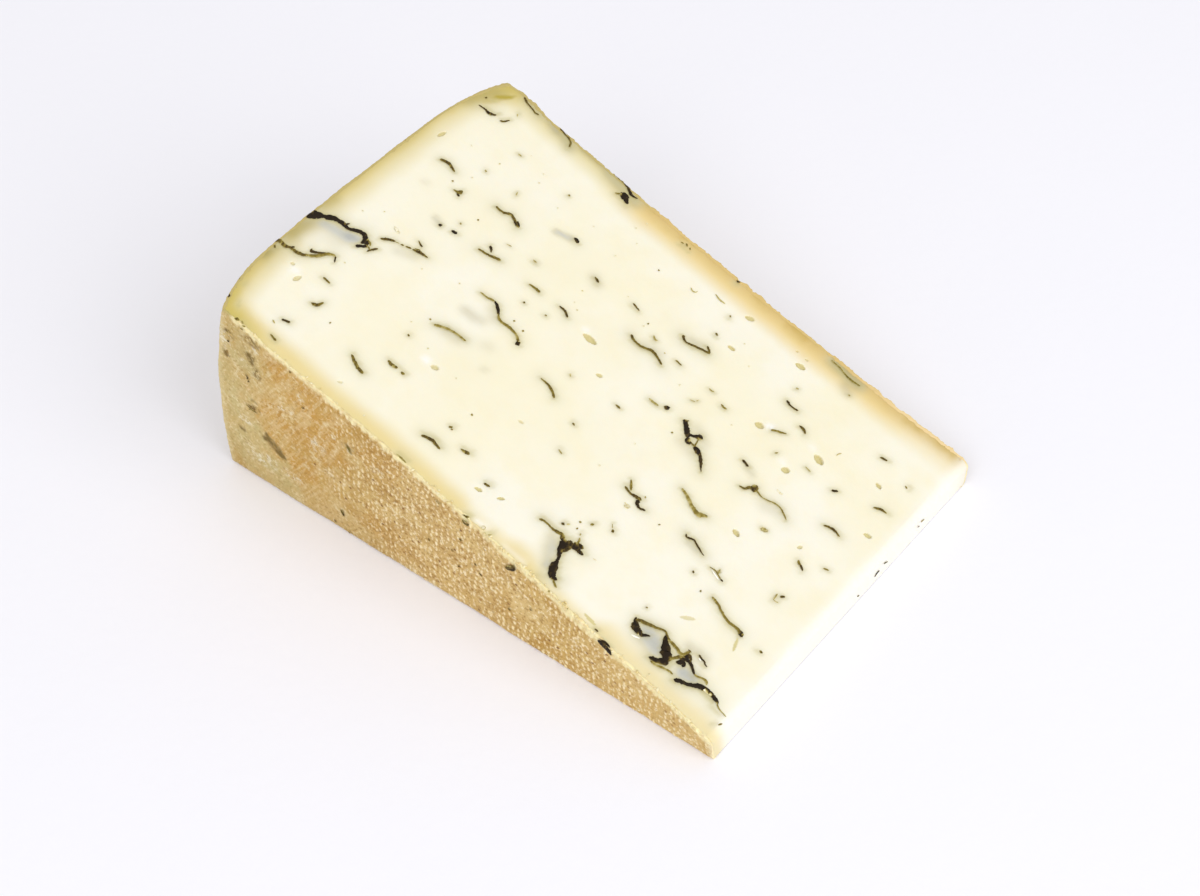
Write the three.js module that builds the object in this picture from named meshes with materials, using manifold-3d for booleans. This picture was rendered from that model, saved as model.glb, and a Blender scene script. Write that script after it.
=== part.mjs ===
// A wedge of wild garlic cheese cut from a cloth-pressed wheel, lying on one of its two cut faces.
// Millimetres, +Z up. The wheel's axis runs along Y, so its rim is the heel at -X and the trimmed
// point is the nose at +X. The origin is in the middle of the underside.

import * as THREE from 'three';
import { mergeVertices } from 'three/addons/utils/BufferGeometryUtils.js';
import Module from 'manifold-3d';

const wasm = await Module();
wasm.setup();

// The wheel, and the wedge that is cut from it
const wheelRadius = 137;
const wheelHeight = 80;
const wedgeAngle = THREE.MathUtils.degToRad(20.4);
const noseDistance = 15.2; // from the wheel's axis to the cut that trims the point off
const noseSlant = 1.8; // how much nearer the axis that cut ends at the far rind
const noseRound = 2.2;

// The rim is fullest in the middle and falls back to a crisp corner at each flat face
const rimFall = 4.2;
const rimPower = 5.2;

// Since the cut the upper half has drawn in along its waist and spread at its nose
const waistDraw = 0.7;
const waistStart = 38;
const waistEnd = 122;
const noseSpread = 0.8;
const noseSpreadEnd = 36;

// Herb shreds lie flat in the cut face and stand a little proud of it
const shredProud = 0.35;
const shredSunk = 1.2;
const shredStep = 1.6; // length of one straight stretch of a shred's edge
const shredTip = 0.3; // width at the ends as a share of the full width

// Short shreds are scattered between the long ones
const shortShreds = 40;
const shortLength = [1.5, 3.2];
const shortWidth = [0.55, 0.85];
const shortTurn = 0.65; // radians either way from the line of the nose
const faceMargin = 3;
const shredGap = 3.2;

// Eyes are shallow almond hollows
const eyeLength = [1.7, 2.5];
const eyeSlimness = 0.42;
const eyeDepth = 0.75;

// Crumbs of rind cling along the edge where the knife left the near flat face
const crumbCount = 44;
const crumbSize = [0.4, 0.75];
const crumbStart = 22;
const crumbEnd = 130;

// Long shreds by their width, then points as distance from the wheel's axis and from the near rind
const longShreds = [
  // From the heel edge
  [1.5, [136, 28], [131.5, 30], [127.3, 31.2], [125.2, 30.2]],
  [1.3, [126.8, 28.2], [125, 30.6], [122.8, 30.6]],
  [1.0, [135.6, 18.4], [132.8, 19.1], [130.5, 21], [127.2, 23.6]],
  [0.9, [124.1, 33.2], [120.6, 35.4], [115.6, 36.6]],
  // Forked shred beside the near rind
  [0.9, [65.6, 10.4], [62.4, 10.9], [59, 10]],
  [1.7, [60, 10], [57.8, 11.4], [56.2, 12]],
  [2, [59.6, 9.8], [57.6, 6], [55.2, 2.8]],
  // Tangle near the nose
  [1.5, [41, 8.3], [40.1, 6.4], [37.4, 6.8]],
  [0.9, [40.6, 7.9], [38, 9.3], [35.4, 9.8], [30.8, 9.3]],
  [1.1, [31.4, 9.6], [29, 8.3], [26.7, 7.3], [24.5, 7.2]],
  [2, [35.2, 9], [33.6, 7.4], [32.2, 5.6]],
  [1.3, [34.8, 3.8], [32, 5.3], [29.6, 4.5]],
  [1.2, [32.4, 6], [31, 7.8], [30, 9.6]],
  [1.4, [29, 3.6], [25.8, 5.6], [23.5, 6.6], [21, 6.3]],
  [0.8, [21.4, 6.6], [19.6, 6], [18.2, 5.2]],
  // Through the middle
  [1.4, [59.2, 45.8], [56.1, 43.9], [54, 43], [51.2, 40]],
  [0.9, [103.4, 38.3], [100, 38.6], [97.3, 36.7], [91.7, 35.2]],
  [0.9, [105, 26.3], [101.8, 27.7], [98.8, 28.2]],
  [1.1, [110.6, 10.1], [108.6, 9.8], [106.6, 9]],
  [0.9, [114.7, 55.2], [111.9, 55.7], [109, 55.2]],
  [0.9, [129.2, 55.6], [127.2, 55.8], [125.4, 55.3]],
  [0.7, [110.1, 45.6], [108, 46.4], [105.8, 46.6]],
  [0.9, [78.1, 52.7], [74.6, 53.1], [70.3, 52.4]],
  [0.9, [71.2, 60], [68, 60.2], [65.3, 61.3]],
  [0.9, [83.6, 32.9], [81.6, 32.4], [79.8, 31.3]],
  [0.8, [132.3, 71.4], [130.6, 72], [129.2, 72.1]],
  [0.9, [48.8, 64], [47.2, 64.4], [45.6, 64.2]],
  [1, [44, 42.9], [41.5, 44.6], [39.8, 44.2]],
  [0.7, [40, 44.2], [37, 45], [33.3, 43.9]],
  [0.8, [33.8, 21.2], [29.8, 19.7], [25.8, 19.5]],
  [0.8, [44.5, 27.5], [42, 27.3], [39.7, 26.7]],
  [0.8, [50.8, 34.8], [48.6, 33.6], [44.4, 33]],
  [1.3, [59.3, 27.4], [55.4, 26.3], [53.1, 25.7]],
  [0.8, [37.6, 25.6], [36, 25.4], [34.2, 24.9]],
  [1, [90.6, 7.3], [88.6, 7.8], [86.7, 7.7]],
  [0.7, [103, 60], [100.8, 60.8], [98.8, 61.3]],
  // Along the far rind
  [1, [128, 78.8], [125.6, 79], [123.4, 78.2]],
  [1, [118.8, 79], [116.2, 78.6], [114.4, 77.2]],
  [1.8, [101.6, 75.8], [100.4, 77], [99.4, 78.2]],
  [0.9, [47.4, 77.2], [43.8, 77.6], [40.3, 77]],
];

// Eyes by distance from the wheel's axis and from the near rind
const eyes = [
  [83.3, 46.4], [99.6, 19.6], [128.3, 15.2], [133, 60.3], [65, 73.8], [63.4, 65.6],
  [51.3, 72.4], [50, 56.4], [36.8, 58.7], [39.9, 52], [38.4, 35.1], [35.2, 39.3],
  [76.7, 6.1], [72.9, 7.8], [22.2, 6.9],
];

// Looks
const pasteColour = 0xf3edd0;
const pasteRoughness = 0.5;

// Fineness of the solids
const rimSegments = 12;
const faceSegments = 14;
const crosswiseSegments = 24;
const eyeSides = 10;

const halfTurn = Math.PI;
const quarterTurn = Math.PI / 2;
const centre = (wheelRadius + noseDistance - noseSlant / 2) / 2;

// Repeatable draws between two limits
let drawState = 4711;

function draw([low, high]) {
  drawState = (drawState * 16807) % 2147483647;
  return low + ((high - low) * drawState) / 2147483647;
}

function toSolid(geometry) {
  geometry.deleteAttribute('normal');
  geometry.deleteAttribute('uv');
  const merged = mergeVertices(geometry, 1e-4);
  const vertProperties = merged.getAttribute('position').array;
  const triVerts = new Uint32Array(merged.getIndex().array);
  return new wasm.Manifold(new wasm.Mesh({ numProp: 3, vertProperties, triVerts }));
}

function toGeometry(solid) {
  const mesh = solid.getMesh();
  const geometry = new THREE.BufferGeometry();
  geometry.setAttribute('position', new THREE.BufferAttribute(mesh.vertProperties, 3));
  geometry.setIndex(new THREE.BufferAttribute(mesh.triVerts, 1));
  geometry.computeVertexNormals();
  return geometry;
}

// Lays a shape drawn as (-distance from the axis, distance from the near rind, height) on the cut face
function layOnCutFace(geometry) {
  return geometry.rotateY(wedgeAngle);
}

// The wedge seen from its near flat face: underside, rim, upper cut face, rounded nose
function sideOutline() {
  const edgeHeight = noseDistance * Math.tan(wedgeAngle);
  const tangent = noseRound * Math.tan((quarterTurn - wedgeAngle) / 2);
  const faceEnd = noseDistance / Math.cos(wedgeAngle) + tangent;
  const outline = new THREE.Shape();
  outline.moveTo(-noseDistance, 0);
  outline.lineTo(-wheelRadius, 0);
  outline.absarc(0, 0, wheelRadius, halfTurn, halfTurn - wedgeAngle, true);
  for (let segment = 1; segment < faceSegments; segment += 1) {
    const out = THREE.MathUtils.lerp(wheelRadius, faceEnd, segment / faceSegments);
    outline.lineTo(-out * Math.cos(wedgeAngle), out * Math.sin(wedgeAngle));
  }
  const roundX = -noseDistance - noseRound;
  const roundZ = edgeHeight - tangent;
  outline.absarc(roundX, roundZ, noseRound, quarterTurn - wedgeAngle, 0, true);
  return outline;
}

// How far each rind stands out from the plain wheel, at a distance from the axis, in the cut face
function rindOffset(out) {
  if (out > waistStart) {
    const along = THREE.MathUtils.clamp((out - waistStart) / (waistEnd - waistStart), 0, 1);
    return -waistDraw * Math.sin(halfTurn * along);
  }
  return noseSpread * THREE.MathUtils.smoothstep(-out, -noseSpreadEnd, -noseDistance);
}

// Gives the straight body its bulging rim, its waist and its slanted nose
function settle(geometry) {
  const position = geometry.getAttribute('position');
  const half = wheelHeight / 2;
  for (let index = 0; index < position.count; index += 1) {
    const x = position.getX(index);
    const z = position.getZ(index);
    const depth = position.getY(index) / wheelHeight;
    const across = -Math.cos(halfTurn * depth); // -1 at the near rind, 1 at the far one
    const turn = Math.atan2(z, -x);
    let out = Math.hypot(x, z);
    if (out > wheelRadius - 1) {
      out -= rimFall * Math.abs(across) ** rimPower;
    }
    if (out < noseDistance * 2) {
      out -= (noseSlant * across) / 2;
    }
    const width = half + (rindOffset(out) * turn) / wedgeAngle;
    position.setXYZ(index, -out * Math.cos(turn), half + across * width, out * Math.sin(turn));
  }
  return geometry;
}

function makeBody() {
  const body = new THREE.ExtrudeGeometry(sideOutline(), {
    depth: wheelHeight,
    steps: crosswiseSegments,
    curveSegments: rimSegments / 2,
    bevelEnabled: false,
  });
  body.rotateX(quarterTurn);
  body.translate(0, wheelHeight, 0);
  return toSolid(settle(body));
}

// A thin strip along a curve, narrower at its ends, set into the cut face
function makeShred(width, places) {
  const middle = new THREE.SplineCurve(places.map(([out, across]) => new THREE.Vector2(-out, across)));
  const stretches = Math.max(2, Math.round(middle.getLength() / shredStep));
  const left = [];
  const right = [];
  for (let stretch = 0; stretch <= stretches; stretch += 1) {
    const along = stretch / stretches;
    const point = middle.getPointAt(along);
    const heading = middle.getTangentAt(along);
    const half = (width / 2) * THREE.MathUtils.lerp(shredTip, 1, Math.sin(halfTurn * along));
    left.push(new THREE.Vector2(point.x - heading.y * half, point.y + heading.x * half));
    right.unshift(new THREE.Vector2(point.x + heading.y * half, point.y - heading.x * half));
  }
  const outline = new THREE.Shape([...left, ...right]);
  const strip = new THREE.ExtrudeGeometry(outline, {
    depth: shredProud + shredSunk,
    bevelEnabled: false,
  });
  strip.translate(0, 0, -shredSunk);
  return toSolid(layOnCutFace(strip));
}

function isClear(out, across) {
  const taken = [...eyes, ...longShreds.flatMap(([, ...places]) => places)];
  return taken.every(([x, y]) => Math.hypot(x - out, y - across) > shredGap);
}

// Short shreds, lightly bent, each turned a little away from the line to the nose
function makeShortShreds() {
  const shreds = [];
  const faceEnd = noseDistance + noseRound + faceMargin;
  while (shreds.length < shortShreds) {
    const out = draw([faceEnd, wheelRadius - faceMargin]);
    const across = draw([faceMargin, wheelHeight - faceMargin]);
    const length = draw(shortLength);
    const width = draw(shortWidth);
    const heading = draw([-shortTurn, shortTurn]);
    const bend = draw([-width, width]) / 2;
    if (isClear(out, across)) {
      const stepOut = (Math.cos(heading) * length) / 2;
      const stepAcross = (Math.sin(heading) * length) / 2;
      const places = [
        [out + stepOut, across - stepAcross],
        [out, across + bend],
        [out - stepOut, across + stepAcross],
      ];
      shreds.push(makeShred(width, places));
    }
  }
  return shreds;
}

// An almond hollow to be sunk into the cut face, its long way in the line to the nose
function makeEye([out, across]) {
  const half = draw(eyeLength) / 2;
  const hollow = new THREE.SphereGeometry(1, eyeSides, eyeSides / 2);
  hollow.scale(half, half * eyeSlimness, eyeDepth);
  hollow.translate(-out, across, 0);
  return toSolid(layOnCutFace(hollow));
}

function makeCrumb() {
  const out = draw([crumbStart, crumbEnd]);
  const crumb = new THREE.IcosahedronGeometry(draw(crumbSize), 0);
  crumb.scale(1, draw([0.6, 1]), draw([0.5, 0.8]));
  crumb.translate(-out, draw([0, 0.3]) - rindOffset(out), draw([-0.3, 0]));
  return toSolid(layOnCutFace(crumb));
}

function makeCheese() {
  let cheese = makeBody();
  for (const [width, ...places] of longShreds) {
    cheese = cheese.add(makeShred(width, places));
  }
  for (const shred of makeShortShreds()) {
    cheese = cheese.add(shred);
  }
  for (const eye of eyes) {
    cheese = cheese.subtract(makeEye(eye));
  }
  for (let count = 0; count < crumbCount; count += 1) {
    cheese = cheese.add(makeCrumb());
  }
  return toGeometry(cheese);
}

const paste = new THREE.MeshStandardMaterial({
  color: pasteColour,
  roughness: pasteRoughness,
  metalness: 0,
  flatShading: true,
});

const wedge = new THREE.Mesh(makeCheese(), paste);
wedge.name = 'cheese_wedge';
wedge.position.set(centre, -wheelHeight / 2, 0);

const group = new THREE.Group();
group.add(wedge);

export default group;
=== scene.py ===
# A wedge of wild garlic cheese from a cloth-pressed wheel, lying on one of its two cut faces

import math
import random

import bmesh
import bpy
import numpy as np
from mathutils import Matrix, Vector


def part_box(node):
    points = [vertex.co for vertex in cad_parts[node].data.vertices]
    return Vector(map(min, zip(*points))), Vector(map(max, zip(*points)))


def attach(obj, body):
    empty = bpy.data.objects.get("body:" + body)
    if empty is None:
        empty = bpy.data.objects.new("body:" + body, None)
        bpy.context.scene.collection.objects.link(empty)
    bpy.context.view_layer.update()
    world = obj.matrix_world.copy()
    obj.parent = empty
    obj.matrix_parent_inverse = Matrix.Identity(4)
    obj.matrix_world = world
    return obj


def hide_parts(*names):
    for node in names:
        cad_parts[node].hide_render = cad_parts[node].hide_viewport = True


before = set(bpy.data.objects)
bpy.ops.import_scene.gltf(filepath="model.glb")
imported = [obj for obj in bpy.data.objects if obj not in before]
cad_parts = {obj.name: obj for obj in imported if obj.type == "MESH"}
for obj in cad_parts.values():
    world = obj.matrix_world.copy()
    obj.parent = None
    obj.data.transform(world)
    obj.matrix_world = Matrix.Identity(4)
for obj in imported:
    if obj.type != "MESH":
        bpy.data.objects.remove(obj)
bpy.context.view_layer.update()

mm = 0.001
touch = 0.00001  # places closer than this, in metres, count as one

# The wheel and the wedge that is cut from it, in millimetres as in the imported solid
wheel = {
    "radius": 137.0,
    "height": 80.0,
    "wedgeAngle": math.radians(20.4),
    "noseDistance": 15.2,
    "noseSlant": 1.8,
    "slantFade": (20.0, 32.0),
    "noseRound": 2.2,
    "rimFall": 4.2,
    "rimPower": 5.2,
    "rimBlend": (10.0, 1.0),  # the fall of the rim sets in between these distances inside it
    "waistDraw": 0.7,
    "waistStart": 38.0,
    "waistEnd": 122.0,
    "noseSpread": 0.8,
    "noseSpreadEnd": 36.0,
    "cornerBulge": 0.75,  # of the far flat face beside the rim
    "bulgeAt": 129.0,
    "bulgeReach": 5.0,
    "bulgeSide": (0.2, 0.8),
}
radius = wheel["radius"]
nose = wheel["noseDistance"]
half = wheel["height"] / 2
wedgeAngle = wheel["wedgeAngle"]
cutCos = math.cos(wedgeAngle)
cutSin = math.sin(wedgeAngle)
noseTangent = wheel["noseRound"] / math.tan(math.radians(45) + wedgeAngle / 2)
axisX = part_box("cheese_wedge")[0][0] / mm + radius  # the wheel's axis in the row frame


# Small helpers for work in Blender
def leaveEdit():
    if bpy.context.object and bpy.context.object.mode != "OBJECT":
        bpy.ops.object.mode_set(mode="OBJECT")


def deselectAll():
    leaveEdit()
    bpy.ops.object.select_all(action="DESELECT")


def selectOnly(*pieces):
    deselectAll()
    for piece in pieces:
        piece.select_set(True)
    bpy.context.view_layer.objects.active = pieces[0]


def editPiece(piece):
    selectOnly(piece)
    bpy.ops.object.mode_set(mode="EDIT")
    bpy.ops.mesh.select_mode(type="EDGE")
    bpy.ops.mesh.select_all(action="DESELECT")


def lowEnd(edge, axis):
    return min(vert.co[axis] for vert in edge.verts)


def highEnd(edge, axis):
    return max(vert.co[axis] for vert in edge.verts)


def span(edge, axis):
    return highEnd(edge, axis) - lowEnd(edge, axis)


def selectEdges(piece, wanted):
    mesh = bmesh.from_edit_mesh(piece.data)
    for edge in mesh.edges:
        edge.select_set(bool(wanted(edge)))
    mesh.select_flush_mode()
    bmesh.update_edit_mesh(piece.data)


def selectFaces(piece, wanted):
    bpy.ops.mesh.select_mode(type="FACE")
    mesh = bmesh.from_edit_mesh(piece.data)
    for face in mesh.faces:
        face.select_set(bool(wanted(face)))
    mesh.select_flush_mode()
    bmesh.update_edit_mesh(piece.data)


def bakePlace(piece):
    selectOnly(piece)
    bpy.ops.object.transform_apply(location=True, rotation=True, scale=True)


def turnOutwards():
    bpy.ops.mesh.select_all(action="SELECT")
    bpy.ops.mesh.normals_make_consistent(inside=False)


def smoothByAngle(piece, degrees):
    selectOnly(piece)
    bpy.ops.object.shade_smooth_by_angle(angle=math.radians(degrees))


def readPlaces(piece):
    places = np.empty(len(piece.data.vertices) * 3)
    piece.data.vertices.foreach_get("co", places)
    return places.reshape(-1, 3)


def writePlaces(piece, places):
    piece.data.vertices.foreach_set("co", np.ascontiguousarray(places, dtype=float).ravel())
    piece.data.update()


def writeValues(piece, valuesByName):
    for name, values in valuesByName.items():
        layer = piece.data.attributes.new(name, "FLOAT", "POINT")
        layer.data.foreach_set("value", np.ascontiguousarray(values, dtype=np.float32).ravel())


def toWheel(places):
    # metres in the row frame to millimetres from the wheel's axis, the near rind and the floor
    return places / mm + np.array([-axisX, half, 0.0])


def toRow(places):
    return (places + np.array([axisX, -half, 0.0])) * mm


# Soft steps and repeatable chance
def smoothStep(value, low, high):
    share = np.clip((value - low) / (high - low), 0, 1)
    return share * share * (3 - 2 * share)


def between(ends, share):
    return ends[0] + (ends[1] - ends[0]) * share


def chance(i, j, seed):
    # one repeatable number between 0 and 1 for each lattice cell
    mixed = np.sin(i * 12.9898 + j * 78.233 + seed * 37.719) * 43758.5453
    return mixed - np.floor(mixed)


def cloud(x, y, seed):
    # smooth random heights between -1 and 1 on a lattice one unit wide
    cellX, cellY = np.floor(x), np.floor(y)
    shareX, shareY = smoothStep(x - cellX, 0, 1), smoothStep(y - cellY, 0, 1)

    def corner(i, j):
        return 2 * chance(i, j, seed) - 1

    low = corner(cellX, cellY) * (1 - shareX) + corner(cellX + 1, cellY) * shareX
    high = corner(cellX, cellY + 1) * (1 - shareX) + corner(cellX + 1, cellY + 1) * shareX
    return low * (1 - shareY) + high * shareY


def clouds(x, y, layers):
    # clouds laid over one another, each with its length, height, strength and seed
    return sum(strength * cloud(x / long, y / high, seed) for long, high, strength, seed in layers)


# The form of the wheel, shared by the paste and the rind
def rindOffset(out, side=0.0):
    # how far a flat face stands off its plane at the upper cut, side is above 0 on the far one
    along = np.clip((out - wheel["waistStart"]) / (wheel["waistEnd"] - wheel["waistStart"]), 0, 1)
    waist = -wheel["waistDraw"] * np.sin(math.pi * along)
    spread = wheel["noseSpread"] * smoothStep(-out, -wheel["noseSpreadEnd"], -nose)
    bulge = wheel["cornerBulge"] * np.exp(-((out - wheel["bulgeAt"]) / wheel["bulgeReach"]) ** 2)
    bulge = bulge * smoothStep(side, *wheel["bulgeSide"])
    return np.where(out > wheel["waistStart"], waist, spread) + bulge


def rimFall(across):
    # how far the rim lies inside its largest radius, across runs from -1 to 1 between the flat faces
    return wheel["rimFall"] * np.abs(across) ** wheel["rimPower"]


def rimAt(y):
    return radius - rimFall((y - half) / half)


def noseSlant(out, across):
    return wheel["noseSlant"] * across / 2 * (1 - smoothStep(out, *wheel["slantFade"]))


def polar(out, y, turn):
    # from a distance and a turn about the wheel's axis
    return np.stack([-out * np.cos(turn), y, out * np.sin(turn)], axis=-1)


def settleWheel(out, across, turn):
    blendStart, blendEnd = wheel["rimBlend"]
    fall = rimFall(across) * smoothStep(out, radius - blendStart, radius - blendEnd)
    out = out - fall - noseSlant(out, across)
    width = half + rindOffset(out, across) * turn / wedgeAngle
    return polar(out, half + across * width, turn)


def layOnCutFace(out, across, height):
    return np.stack([-out * cutCos + height * cutSin, across, out * cutSin + height * cutCos], axis=-1)


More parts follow.
